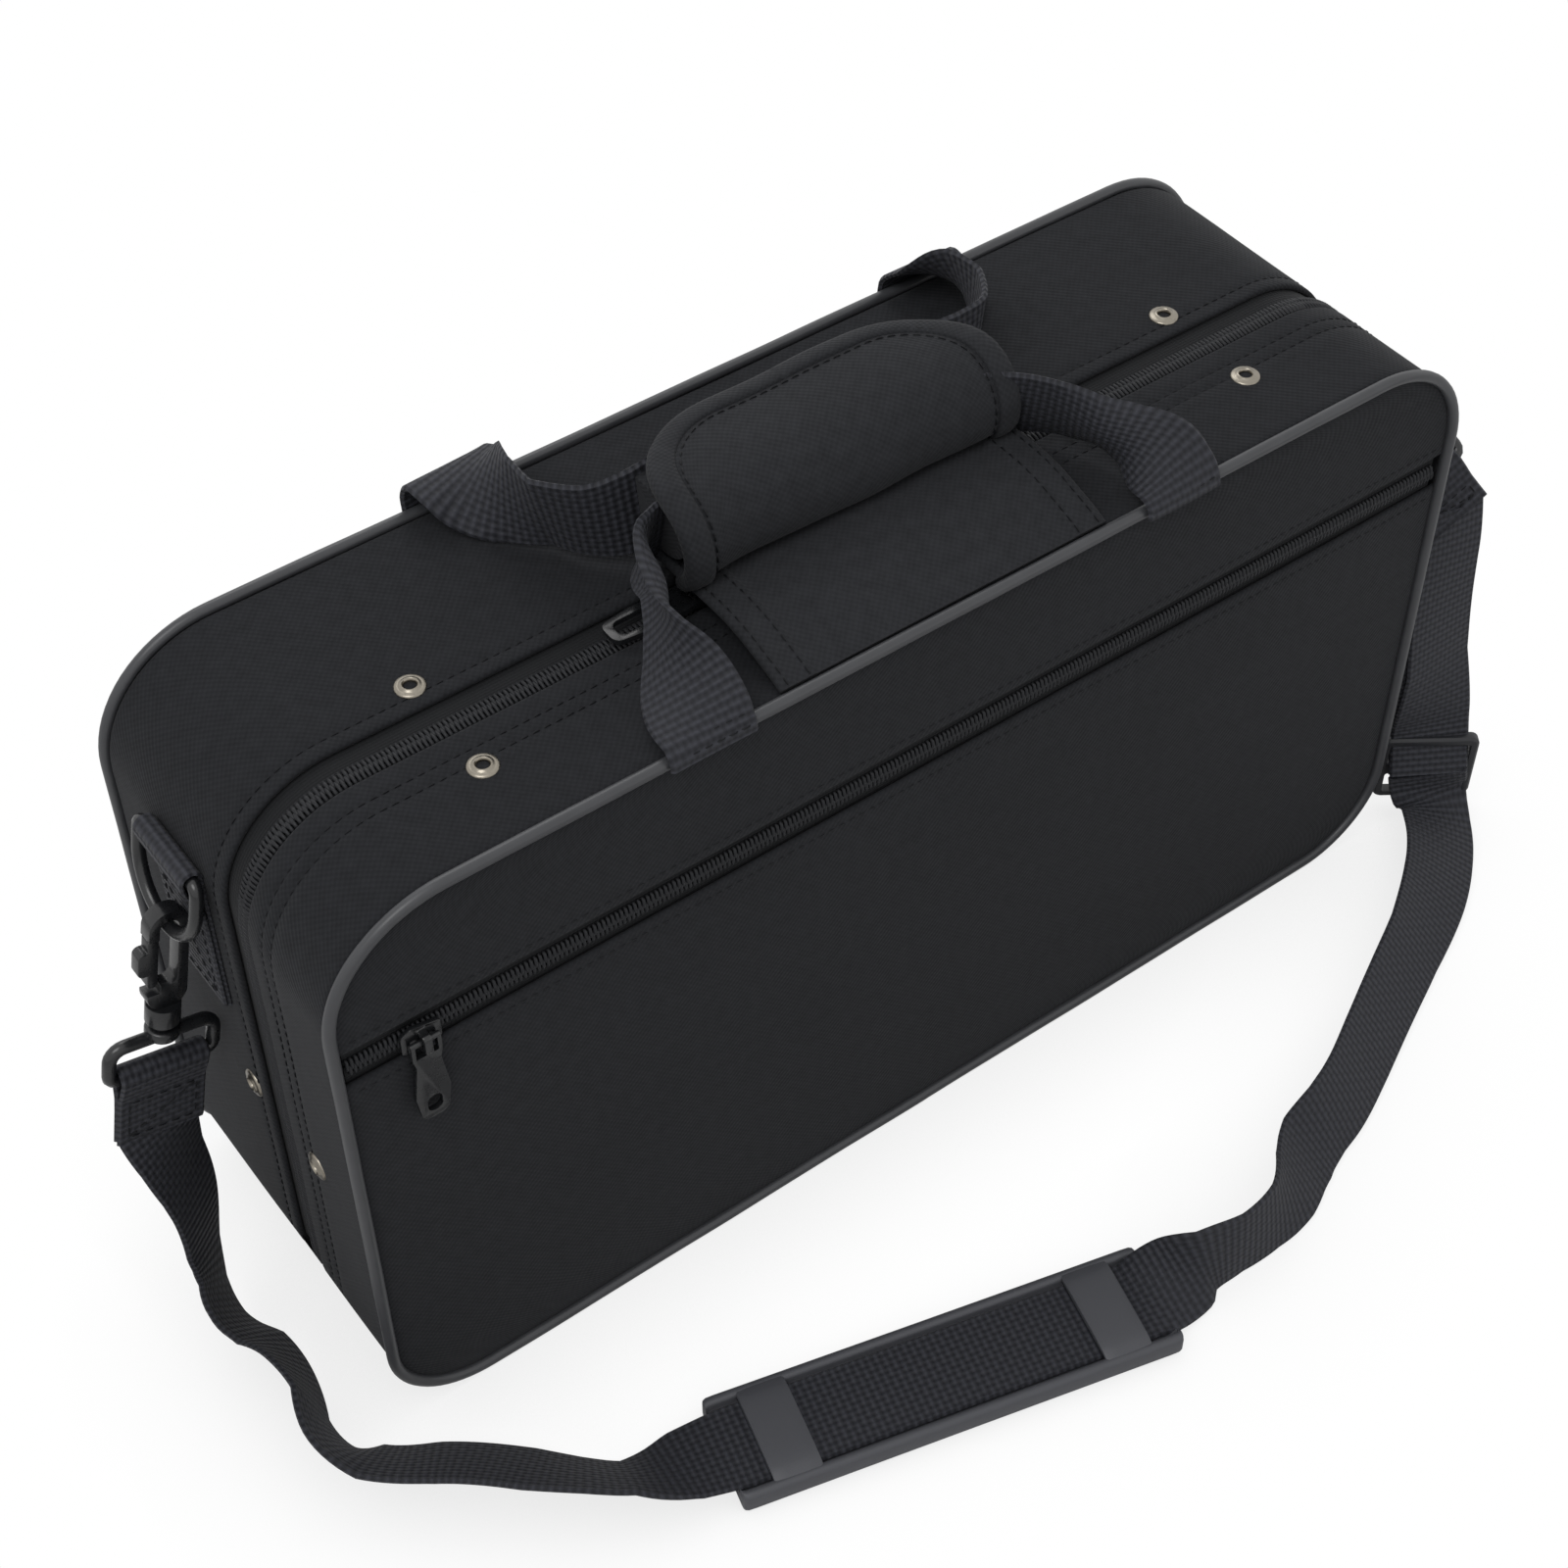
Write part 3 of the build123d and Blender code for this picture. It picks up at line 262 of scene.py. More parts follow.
def knitted_tape(name, colour):
    """Knitted polyester zip tape: flat, with fine lengthwise wales."""
    material, tree, bsdf = surface_material(name, 0.78, {"Specular IOR Level": 0.18, "Sheen Weight": 0.04})
    _, along, across = cloth_coordinates(tree)
    wales = maths(tree, "MULTIPLY_ADD", wave(tree, along, 0.0011), 0.4, wave(tree, across, 0.0009))
    span = add_node(tree, "ShaderNodeMapRange", {0: wales, 1: -1.4, 2: 1.4, 3: 0.0, 4: 1.0})
    faced(tree, bsdf, colour, (0.75, 1.25), span.outputs[0], wales, 0.3, 0.0002)
    return material


def grained(name, colour, roughness, grain, depth, shader=None, spread=0.12):
    """A solid surface with an even grain of the given size in its colour, gloss and relief."""
    material, tree, bsdf = surface_material(name, roughness, shader)
    place = add_node(tree, "ShaderNodeTexCoord").outputs["Object"]
    noise = add_node(tree, "ShaderNodeTexNoise", {"Vector": place, "Scale": 1.0 / grain, "Detail": 4.0})
    rough = add_node(tree, "ShaderNodeMapRange", {0: noise.outputs[0], 3: roughness * 0.8, 4: roughness * 1.2})
    tree.links.new(rough.outputs[0], bsdf.inputs["Roughness"])
    faced(tree, bsdf, colour, (1 - spread, 1 + spread), noise.outputs[0], noise.outputs[0], depth, grain / 3)
    return material


def nylon_coil(name, colour):
    """Drawn nylon filament: smooth, rounded and slightly see-through, so it catches small highlights."""
    return grained(name, colour, 0.48, 0.002, 0.05, {"Specular IOR Level": 0.25})


def spun_thread(name, colour):
    """Bonded polyester thread: dark, with a faint gloss along each stitch."""
    return grained(name, colour, 0.6, 0.0006, 0.2, {"Specular IOR Level": 0.2}, 0.3)


def enamelled_zinc(name, colour):
    """Die-cast zinc under black enamel: near-black, smooth and glossy, with orange-peel and rubbed edges."""
    return grained(name, colour, 0.28, 0.0025, 0.06, {"Coat Weight": 0.15, "Coat Roughness": 0.12}, 0.25)


def moulded_acetal(name, colour):
    """Injection-moulded acetal: dark and waxy, with a soft broad highlight."""
    return grained(name, colour, 0.42, 0.0012, 0.08, {"Specular IOR Level": 0.45})


def plated_brass(name, colour):
    """Nickel-plated brass, tumbled: a bright warm grey metal with fine scuffs."""
    return grained(name, colour, 0.3, 0.0007, 0.12, {"Metallic": 1.0}, 0.15)


def moulded_rubber(name, colour):
    """Moulded thermoplastic rubber: matt-satin with a fine etched grain that lifts on the edges."""
    return grained(name, colour, 0.5, 0.0006, 0.15, {"Specular IOR Level": 0.45}, 0.08)


def cut_plush(name, colour):
    """Short cut pile on foam: soft, with tufts that lie in different directions and a strong sheen."""
    return grained(name, colour, 0.95, sizes().pile_grain, 0.8,
                   {"Sheen Weight": 0.8, "Sheen Roughness": 0.5, "Specular IOR Level": 0.1}, 0.45)


def pressed_board(name, colour):
    """Pressed fibre board: flat and dull with short flecks."""
    return grained(name, colour, 0.9, 0.0015, 0.25, {"Specular IOR Level": 0.2}, 0.3)


RECIPES = {
    # The paler handle cloth is the case cloth with painted light for the grip's and flap's upward faces.
    "case_cloth": (woven_polyester, "cloth"), "handle_cloth": (woven_polyester, "handle_cloth"),
    "lining": (knitted_tape, "zip_tape"),
    "board": (pressed_board, "board"), "plush": (cut_plush, "plush"), "foam": (cut_plush, "plush"),
    "piping": (extruded_vinyl, "piping"), "zip_tape": (knitted_tape, "zip_tape"),
    "zip_coil": (nylon_coil, "zip_coil"), "rivet_metal": (plated_brass, "rivet"),
    "webbing": (polypropylene_webbing, "webbing"), "black_metal": (enamelled_zinc, "enamel"),
    "moulded_plastic": (moulded_acetal, "moulding"), "pad_rubber": (moulded_rubber, "rubber"),
    "thread": (spun_thread, "thread"),
}


def finish_of(slot):
    """The material for a finish, made on first use."""
    recipe, colour = RECIPES[slot]
    name = slot + "_" + recipe.__name__
    return bpy.data.materials.get(name) or recipe(name, getattr(colours(), colour))


# ---- mesh building, in millimetres ----------------------------------------------------------------
class Fabric:
    """Collects surfaces for one object: points in millimetres, faces, and cloth distances in metres."""

    def __init__(self):
        self.points, self.faces, self.cloth = [], [], []

    def sheet(self, grid, along=None, across=None, wrap=False, ring=False, caps=False):
        """Adds a grid of points. wrap closes it lengthwise, ring closes it crosswise."""
        grid = np.asarray(grid, float)
        rows, columns = grid.shape[:2]
        if along is None:
            along = lengths(grid[:, columns // 2], wrap)
        if across is None:
            across = lengths(grid[rows // 2], ring)
        first = len(self.points)
        self.points.extend(grid.reshape(-1, 3).tolist())
        for i in range(rows if wrap else rows - 1):
            for j in range(columns if ring else columns - 1):
                corners = ((i, j), (i + 1, j), (i + 1, j + 1), (i, j + 1))
                self.faces.append([first + (a % rows) * columns + b % columns for a, b in corners])
                self.cloth.append([(along[a] * MM, across[b] * MM) for a, b in corners])
        if caps:
            for row, order in ((0, 1), (rows - 1, -1)):
                loop = list(range(columns))[::order]
                self.faces.append([first + row * columns + j for j in loop])
                self.cloth.append([(along[row] * MM, across[j] * MM) for j in loop])
        return self

    def make(self, name, slot, material=None, sharp=40.0):
        mesh = bpy.data.meshes.new(name)
        mesh.from_pydata([[c * MM for c in p] for p in self.points], [], self.faces)
        layer = mesh.uv_layers.new(name="cloth")
        layer.data.foreach_set("uv", np.array([uv for face in self.cloth for uv in face]).ravel())
        obj = bpy.data.objects.new(name, mesh)
        bpy.context.scene.collection.objects.link(obj)
        return dressed(obj, slot, material, sharp)


def dressed(obj, slot, material=None, sharp=40.0):
    """Gives a piece its finish and smooth shading."""
    mesh = obj.data
    mesh.materials.clear()
    mesh.materials.append(material or finish_of(slot))
    mesh.polygons.foreach_set("use_smooth", [True] * len(mesh.polygons))
    mesh.set_sharp_from_angle(angle=radians(sharp))
    mesh.update()
    return obj


def fitted(obj, body, *nodes):
    """Fixes a piece to a body, and puts it in place of its CAD nodes if it stands for any."""
    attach(obj, body)
    if nodes:
        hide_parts(*nodes)
    return obj


def lengths(line, closed=False):
    """Each point's distance along a line; a closed one ends with the way back to its start."""
    line = np.asarray(line, float)
    steps = np.linalg.norm(np.diff(line, axis=0), axis=1)
    if closed:
        steps = np.append(steps, np.linalg.norm(line[0] - line[-1]))
    return np.concatenate([[0.0], np.cumsum(steps)])


def unit(vectors):
    """Vectors at length one."""
    vectors = np.asarray(vectors, float)
    return vectors / np.maximum(np.linalg.norm(vectors, axis=-1, keepdims=True), 1e-9)


def evenly(line, step):
    """The same line with points an even step apart, and each point's distance along it."""
    line = np.asarray(line, float)
    run = lengths(line)
    marks = np.linspace(0, run[-1], max(2, int(round(run[-1] / step)) + 1))
    return np.stack([np.interp(marks, run, line[:, k]) for k in range(3)], 1), marks


def nurbs_line(points):
    """Points read from a smooth curve whose control points are given in metres; returned in millimetres."""
    curve = bpy.data.curves.new("route", "CURVE")
    curve.dimensions = "3D"
    curve.resolution_u = 16
    spline = curve.splines.new("NURBS")
    spline.points.add(len(points) - 1)
    for control, point in zip(spline.points, points):
        control.co = (*point, 1.0)
    spline.order_u = 3
    spline.use_endpoint_u = True
    holder = bpy.data.objects.new("route", curve)
    bpy.context.scene.collection.objects.link(holder)
    bpy.context.view_layer.update()
    mesh = bpy.data.meshes.new_from_object(holder)
    line = np.array([v.co for v in mesh.vertices], float) / MM
    bpy.data.meshes.remove(mesh)
    bpy.data.objects.remove(holder)
    bpy.data.curves.remove(curve)
    return line


def metres(points):
    """Millimetre points in metres."""
    return [tuple(c * MM for c in p) for p in points]


def wander(a, b, seed=0.0):
    """A slow, repeatable unevenness between -1 and 1."""
    return (0.5 * np.sin(a / 23.0 + seed) + 0.3 * np.sin(a / 11.7 + b / 17.0 + 2.1 * seed)
            + 0.2 * np.sin(a / 7.1 - b / 9.0 + 0.7 * seed))


def frames_along(line, widths):
    """Tangent, width and face directions at each point of a line, from (near point, width) pairs."""
    tangent = unit(np.gradient(line, axis=0))
    marks = [int(np.argmin(np.linalg.norm(line - np.array(near), axis=1))) for near, _ in widths]
    marks = np.maximum.accumulate(marks)
    wanted = np.array([direction for _, direction in widths], float)
    index = np.arange(len(line))
    width = np.stack([np.interp(index, marks, wanted[:, k]) for k in range(3)], 1)
    width = unit(width - (width * tangent).sum(1, keepdims=True) * tangent)
    return tangent, width, unit(np.cross(tangent, width))


def ribbon(fabric, line, widths, thickness=1.5, cup=0.0, lift=0.0, gather=1.0):
    """Flat webbing along a line, with rounded edges; cup bows it across its width, and gather, below 1 at
    some points of the line, curls it narrower there."""
    _, side, face = frames_along(line, widths)
    half, deep = WEBBING / 2, thickness / 2
    u = np.linspace(-half + deep, half - deep, 12)
    bow = cup * (1 - (u / half) ** 2)
    loop = [(-half, 0.0)] + [(a, deep + b) for a, b in zip(u, bow)]
    loop += [(half, 0.0)] + [(a, b - deep) for a, b in zip(u[::-1], bow[::-1])]
    narrow = np.broadcast_to(np.asarray(gather, float), (len(line),))[:, None]
    curl = lambda a: (1 - narrow) * half * (1 - (a / half) ** 2)
    grid = np.stack([line + side * a * narrow + face * (b + lift + curl(a)) for a, b in loop], 1)
    fabric.sheet(grid, along=lengths(line), ring=True, caps=True,
                 across=np.array([a + half for a, _ in loop] + [0.0]))
    return side, face


def tube(fabric, line, radius, sides=10, closed=False):
    """Round wire or cord along a line."""
    line = np.asarray(line, float)
    if closed:
        tangent = unit(np.roll(line, -1, 0) - np.roll(line, 1, 0))
    else:
        tangent = unit(np.gradient(line, axis=0))
    normal = np.zeros_like(line)
    seed = np.eye(3)[int(np.argmin(np.abs(tangent[0])))]
    for i, t in enumerate(tangent):
        seed = seed - t * float(seed @ t)
        seed = seed / np.linalg.norm(seed)
        normal[i] = seed
    cross = np.cross(tangent, normal)
    turn = np.linspace(0, tau, sides, endpoint=False)
    reach = np.broadcast_to(np.asarray(radius, float), (len(line),))[:, None]
    grid = np.stack([line + reach * (normal * cos(a) + cross * sin(a)) for a in turn], 1)
    fabric.sheet(grid, wrap=closed, ring=True, caps=not closed)


def lathe(fabric, matrix, profile, sides=28):
    """Turned shape: (radius, height) pairs about the matrix's Z axis."""
    turn = np.linspace(0, tau, sides, endpoint=False)
    grid = [[list(matrix @ Vector((r * cos(a), r * sin(a), h))) for a in turn] for r, h in profile]
    fabric.sheet(np.array(grid)[::-1], ring=True)


def stitches(fabric, line, faces, lift=0.12, radius=0.24, share=0.68):
    """A row of sewing stitches on a line; faces are the outward directions of the cloth."""
    pitch = sizes().stitch_pitch / MM
    run = lengths(line)
    count = max(1, int(run[-1] / pitch))
    pitch = run[-1] / count
    place = lambda s: np.array([np.interp(s, run, line[:, k]) for k in range(3)])
    out = lambda s: unit(np.array([np.interp(s, run, faces[:, k]) for k in range(3)]))
    for i in range(count):
        middle = (i + 0.5) * pitch
        marks = [middle + share * pitch * k for k in (-0.5, -0.3, 0.0, 0.3, 0.5)]
        heights = (-0.25, lift * 0.7, lift, lift * 0.7, -0.25)
        tube(fabric, [place(s) + out(s) * h for s, h in zip(marks, heights)],
             np.array([0.6, 1, 1, 1, 0.6]) * radius, sides=5)


# ---- the case's outline ---------------------------------------------------------------------------
def case_outline(step=3.0):
    """Points round the case seen from the front, from the middle of the bottom towards +X: x, z, nx, nz."""
    right, low, high = SIDE, FLOOR, TOP
    rows = []

    def straight(a, b, normal):
        count = max(1, int(round(hypot(b[0] - a[0], b[1] - a[1]) / step)))
        for i in range(count):
            t = i / count
            rows.append((a[0] + (b[0] - a[0]) * t, a[1] + (b[1] - a[1]) * t, *normal))

    def corner(x, z, radius, start):
        for i in range(18):
            a = radians(start + 90 * i / 18)
            rows.append((x + radius * cos(a), z + radius * sin(a), cos(a), sin(a)))

    b, t = BOTTOM_RADIUS, TOP_RADIUS
    straight((0, low), (right - b, low), (0, -1))
    corner(right - b, low + b, b, -90)
    straight((right, low + b), (right, high - t), (1, 0))
    corner(right - t, high - t, t, 0)
    straight((right - t, high), (t - right, high), (0, 1))
    corner(t - right, high - t, t, 90)
    straight((-right, high - t), (-right, low + b), (-1, 0))
    corner(b - right, low + b, b, 180)
    straight((b - right, low), (0, low), (0, -1))
    return np.array(rows)


def zip_outline(step=3.0):
    """The stretch of the outline that the zip runs along."""
    edge = case_outline(step)
    kept = edge[edge[:, 1] >= ZIP_END]
    ends = [np.array([[s * SIDE, ZIP_END, s, 0.0]]) for s in (1, -1)]
    return np.concatenate([ends[0], kept, ends[1]])


def hinge_outline(step=3.0):
    """The stretch of the outline below the zip, from the left end to the right one."""
    edge = case_outline(step)
    middle = len(edge) // 2
    turned = np.concatenate([edge[middle:], edge[:middle]])
    kept = turned[turned[:, 1] <= ZIP_END]
    return np.concatenate([[[-SIDE, ZIP_END, -1, 0]], kept, [[SIDE, ZIP_END, 1, 0]]])


def hoop(edge, profile, rough=0.0, seed=0.0):
    """Points of a band round the case: profile gives (inset, y) pairs."""
    edge = np.asarray(edge)
    run = lengths(np.column_stack([edge[:, 0], edge[:, 1], edge[:, 0] * 0]))
    grid = []
    for inset, y in profile:
        off = inset - rough * wander(run, y, seed) * np.exp(-inset * 2)
        grid.append(np.column_stack([edge[:, 0] - off * edge[:, 2], np.full(len(edge), y),
                                     edge[:, 1] - off * edge[:, 3]]))
    return np.stack(grid, 1)


def hoop_line(edge, inset, y):
    """A line round the case at one inset and depth, with the cloth's outward directions."""
    line = np.column_stack([edge[:, 0] - inset * edge[:, 2], np.full(len(edge), y),
                            edge[:, 1] - inset * edge[:, 3]])
    return line, np.column_stack([edge[:, 2], edge[:, 0] * 0, edge[:, 3]])


def edge_distance(x, z):
    """How far a point of a panel lies inside the outline."""
    middle = (TOP + FLOOR) / 2
    radius = np.where(z > middle, TOP_RADIUS, BOTTOM_RADIUS)
    dx = np.abs(x) - (SIDE - radius)
    dz = np.abs(z - middle) - ((TOP - FLOOR) / 2 - radius)
    outside = np.hypot(np.maximum(dx, 0), np.maximum(dz, 0))
    return radius - outside - np.minimum(np.maximum(dx, dz), 0)


def half_width(z, inset):
    """Half the outline's width at a height, at an inset."""
    middle = (TOP + FLOOR) / 2
    radius = TOP_RADIUS if z > middle else BOTTOM_RADIUS
    over = abs(z - middle) - ((TOP - FLOOR) / 2 - radius)
    if over <= 0:
        return SIDE - inset
    return SIDE - radius + sqrt(max((radius - inset) ** 2 - over ** 2, 0.0))


def between(values, start, stop, step):
    """Adds evenly spaced (inset, y) points between two depths."""
    count = max(1, int(round(abs(stop - start) / step)))
    return values + [(0.0, start + (stop - start) * i / count) for i in range(count + 1)]


def groove(profile, y, depth=0.35, width=0.9):
    """Presses a stitched groove into a profile at a depth y."""
    kept = [p for p in profile if not (p[0] == 0.0 and abs(p[1] - y) < width * 1.1)]
    index = next(i for i, p in enumerate(kept) if p[0] == 0.0 and (p[1] - y) * (kept[i + 1][1] - y) < 0)
    sign = 1 if kept[index + 1][1] > kept[index][1] else -1
    cut = [(0.0, y - sign * width), (depth, y), (0.0, y + sign * width)]
    return kept[:index + 1] + cut + kept[index + 1:]


# ---- stage ----------------------------------------------------------------------------------------
class CASE_OT_stage(bpy.types.Operator):
    """Camera, pale floor, soft lamps and white surroundings"""

    bl_idname = "case.stage"
    bl_label = "Stage"

    def execute(self, context):
        scene = bpy.context.scene
        scene.view_settings.view_transform = "Standard"
        self.camera(scene)
        self.world(scene)
        self.floor()
        self.lamp("key_lamp", (-0.75, -0.35, 1.55), (0.0, -0.02, 0.10), 0.95, 8.0)
        self.lamp("back_lamp", (0.35, 1.05, 1.25), (0.0, 0.0, 0.12), 0.8, 3.2)
        self.lamp("front_lamp", (0.9, -1.6, 0.55), (0.0, -0.05, 0.08), 0.9, 0.9)
        return {"FINISHED"}

    def camera(self, scene):
        """Looks down on the case from the front left."""
        right = Vector((0.80471162, -0.59364734, -0.00469442))
        up = Vector((0.43649663, 0.58629123, 0.68244654))
        back = Vector((-0.40238028, -0.55122176, 0.73092043))
        data = bpy.data.cameras.new("camera")
        data.lens, data.sensor_width = 63.78, 36.0
        obj = bpy.data.objects.new("camera", data)
        turn = Matrix((right, up, back)).transposed().to_4x4()
        obj.matrix_world = Matrix.Translation((-0.325223, -0.429980, 0.665192)) @ turn
        scene.collection.objects.link(obj)
        scene.camera = obj

    def world(self, scene):
        """White to the eye, in reflections and through glass, and a plain soft light otherwise."""
        world = bpy.data.worlds.new("studio")
        world.use_nodes = True
        tree = world.node_tree
        rays = add_node(tree, "ShaderNodeLightPath").outputs
        seen = maths(tree, "MAXIMUM", rays["Is Camera Ray"], rays["Is Transmission Ray"])
        seen = maths(tree, "MAXIMUM", seen, rays["Is Glossy Ray"])
        level = add_node(tree, "ShaderNodeMapRange", {0: seen, 3: 0.42, 4: 1.0})
        shine = tree.nodes["Background"]
        shine.inputs["Color"].default_value = (1, 1, 1, 1)
        tree.links.new(level.outputs[0], shine.inputs["Strength"])
        scene.world = world

    def floor(self):
        """Pale floor that shows as the white surroundings, darker only where the case shades it."""
        material = bpy.data.materials.new("matt_painted_floor")
        material.use_nodes = True
        tree = material.node_tree
        tree.nodes.remove(tree.nodes["Principled BSDF"])
        rays = add_node(tree, "ShaderNodeLightPath").outputs
        shade = add_node(tree, "ShaderNodeAmbientOcclusion", {"Distance": 0.05}, samples=8)
        tint = add_node(tree, "ShaderNodeMapRange", {0: shade.outputs["AO"], 1: 0.25, 2: 0.95, 3: 0.80, 4: 1.0})
        grey = add_node(tree, "ShaderNodeCombineColor", {0: tint.outputs[0], 1: tint.outputs[0],
                                                         2: tint.outputs[0]})
        clear = add_node(tree, "ShaderNodeBsdfTransparent", {"Color": grey.outputs[0]})
        unseen = add_node(tree, "ShaderNodeBsdfTransparent")
        paint = add_node(tree, "ShaderNodeBsdfDiffuse", {"Color": linear(colours().floor)})
        lit = add_node(tree, "ShaderNodeMixShader", {0: rays["Is Shadow Ray"], 1: paint.outputs[0],
                                                     2: unseen.outputs[0]})
        both = add_node(tree, "ShaderNodeMixShader", {0: rays["Is Camera Ray"], 1: lit.outputs[0],
                                                      2: clear.outputs[0]})
        tree.links.new(both.outputs[0], tree.nodes["Material Output"].inputs["Surface"])
        mesh = bpy.data.meshes.new("floor")
        reach = 4.0
        mesh.from_pydata([(-reach, -reach, 0), (reach, -reach, 0), (reach, reach, 0), (-reach, reach, 0)],
                         [], [(0, 1, 2, 3)])
        mesh.materials.append(material)
        obj = bpy.data.objects.new("floor", mesh)
        bpy.context.scene.collection.objects.link(obj)

    def lamp(self, name, place, aim, size, power):
        """A round soft lamp aimed at a point."""
        data = bpy.data.lights.new(name, "AREA")
        data.shape, data.size, data.energy = "DISK", size, power
        obj = bpy.data.objects.new(name, data)
        obj.location = place
        obj.rotation_euler = (Vector(aim) - Vector(place)).to_track_quat("-Z", "Y").to_euler()
        bpy.context.scene.collection.objects.link(obj)


# ---- shoulder strap -------------------------------------------------------------------------------
# The strap's first half has its own list of width directions; each point of the second half has one.
STRAP_START = [
    (-202.6, 16.0, 77.0), (-201.4, 15.5, 58.0), (-199.6, 11.5, 40.0), (-203.2, 7.0, 22.0),
    (-207.0, -8.0, 13.0), (-199.8, -22.0, 12.4), (-199.6, -38.0, 12.4), (-203.2, -52.0, 12.4),
    (-202.0, -62.5, 12.5), (-193.5, -72.8, 12.6), (-177.0, -83.0, 12.6), (-157.0, -102.5, 12.0),
    (-141.0, -113.4, 7.4), (-124.3, -116.6, 5.7), (-95.2, -124.1, 5.7), (-56.5, -134.0, 5.7),
    (-17.8, -143.9, 5.7),
]
STRAP_START_WIDTHS = [
    ((-202.6, 16.0, 77.0), (0.98, 0.0, -0.2)), ((-201.6, 15.0, 65.0), (0.90, 0.44, 0.03)),
    ((-200.8, 13.8, 53.0), (0.78, 0.62, -0.03)), ((-200.2, 10.5, 38.0), (0.72, 0.67, -0.20)),
    ((-201.0, 9.0, 30.0), (0.66, 0.68, -0.30)), ((-202.4, 6.5, 24.0), (0.55, 0.65, -0.53)),
    ((-204.0, 1.0, 18.0), (0.42, 0.45, -0.80)), ((-206.0, -7.0, 14.0), (0.47, 0.31, -0.83)),
    ((-202.0, -18.0, 13.0), (0.61, 0.25, -0.75)), ((-200.0, -30.0, 12.4), (0.47, 0.01, -0.88)),
    ((-201.0, -44.0, 12.4), (0.27, -0.05, -0.96)), ((-202.6, -58.0, 12.4), (0.50, 0.03, -0.87)),
    ((-199.0, -69.0, 12.4), (0.58, 0.48, -0.66)), ((-184.0, -80.0, 12.2), (0.45, 0.66, -0.60)),
    ((-165.0, -95.0, 12.0), (0.50, 0.62, -0.60)), ((-154.0, -104.0, 11.0), (0.36, 0.67, -0.65)),
    ((-145.0, -110.5, 8.8), (0.25, 0.71, -0.65)), ((-138.0, -113.6, 7.2), (0.20, 0.87, -0.45)),
    ((-129.0, -116.0, 6.0), (0.20, 0.96, -0.20)), ((-116.0, -118.6, 5.7), (0.2487, 0.9686, 0)),
]
STRAP_END = [
    ((0.0, -148.6, 5.6), (0.2487, 0.9686, 0)), ((11.8, -150.4, 8.0), (0.22, 0.75, 0.62)),
    ((20.2, -152.8, 12.8), (0.12, 0.22, 0.97)), ((32.3, -155.1, 13.1), (0.0, 0.12, 0.99)),
    ((45.9, -154.1, 12.8), (-0.14, 0.2, 0.97)), ((58.8, -148.7, 11.0), (-0.41, 0.4, 0.82)),
    ((70.4, -140.6, 9.7), (-0.4, 0.56, 0.72)), ((81.7, -137.3, 10.8), (-0.22, 0.54, 0.81)),
    ((93.7, -133.5, 10.6), (-0.16, 0.59, 0.79)), ((109.1, -125.7, 10.3), (-0.29, 0.57, 0.77)),
    ((130.2, -114.7, 10.1), (-0.3, 0.59, 0.75)), ((151.7, -104.1, 9.7), (-0.31, 0.62, 0.72)),
    ((174.2, -91.1, 7.5), (-0.45, 0.71, 0.54)), ((187.8, -80.2, 6.2), (-0.62, 0.65, 0.44)),
    ((198.7, -68.1, 4.5), (-0.84, 0.46, 0.3)),
]
SLIDE_BAR = (198.6, -61.0, 18.5)
STRAP_ROUTE = metres(STRAP_START + [point for point, _ in STRAP_END] + [(201.6, -60.2, 9.0), SLIDE_BAR])
SLIDE = (200.4, -58.0, 18.5)
UPPER_ROUTE = metres([
    SLIDE_BAR, (202.0, -54.8, 32.0), (199.2, -56.0, 46.0), (197.6, -54.8, 64.0),
    (197.6, -52.0, 82.0), (199.2, -49.2, 98.0), (201.2, -46.4, 109.0), (201.6, -44.2, 116.5),
])


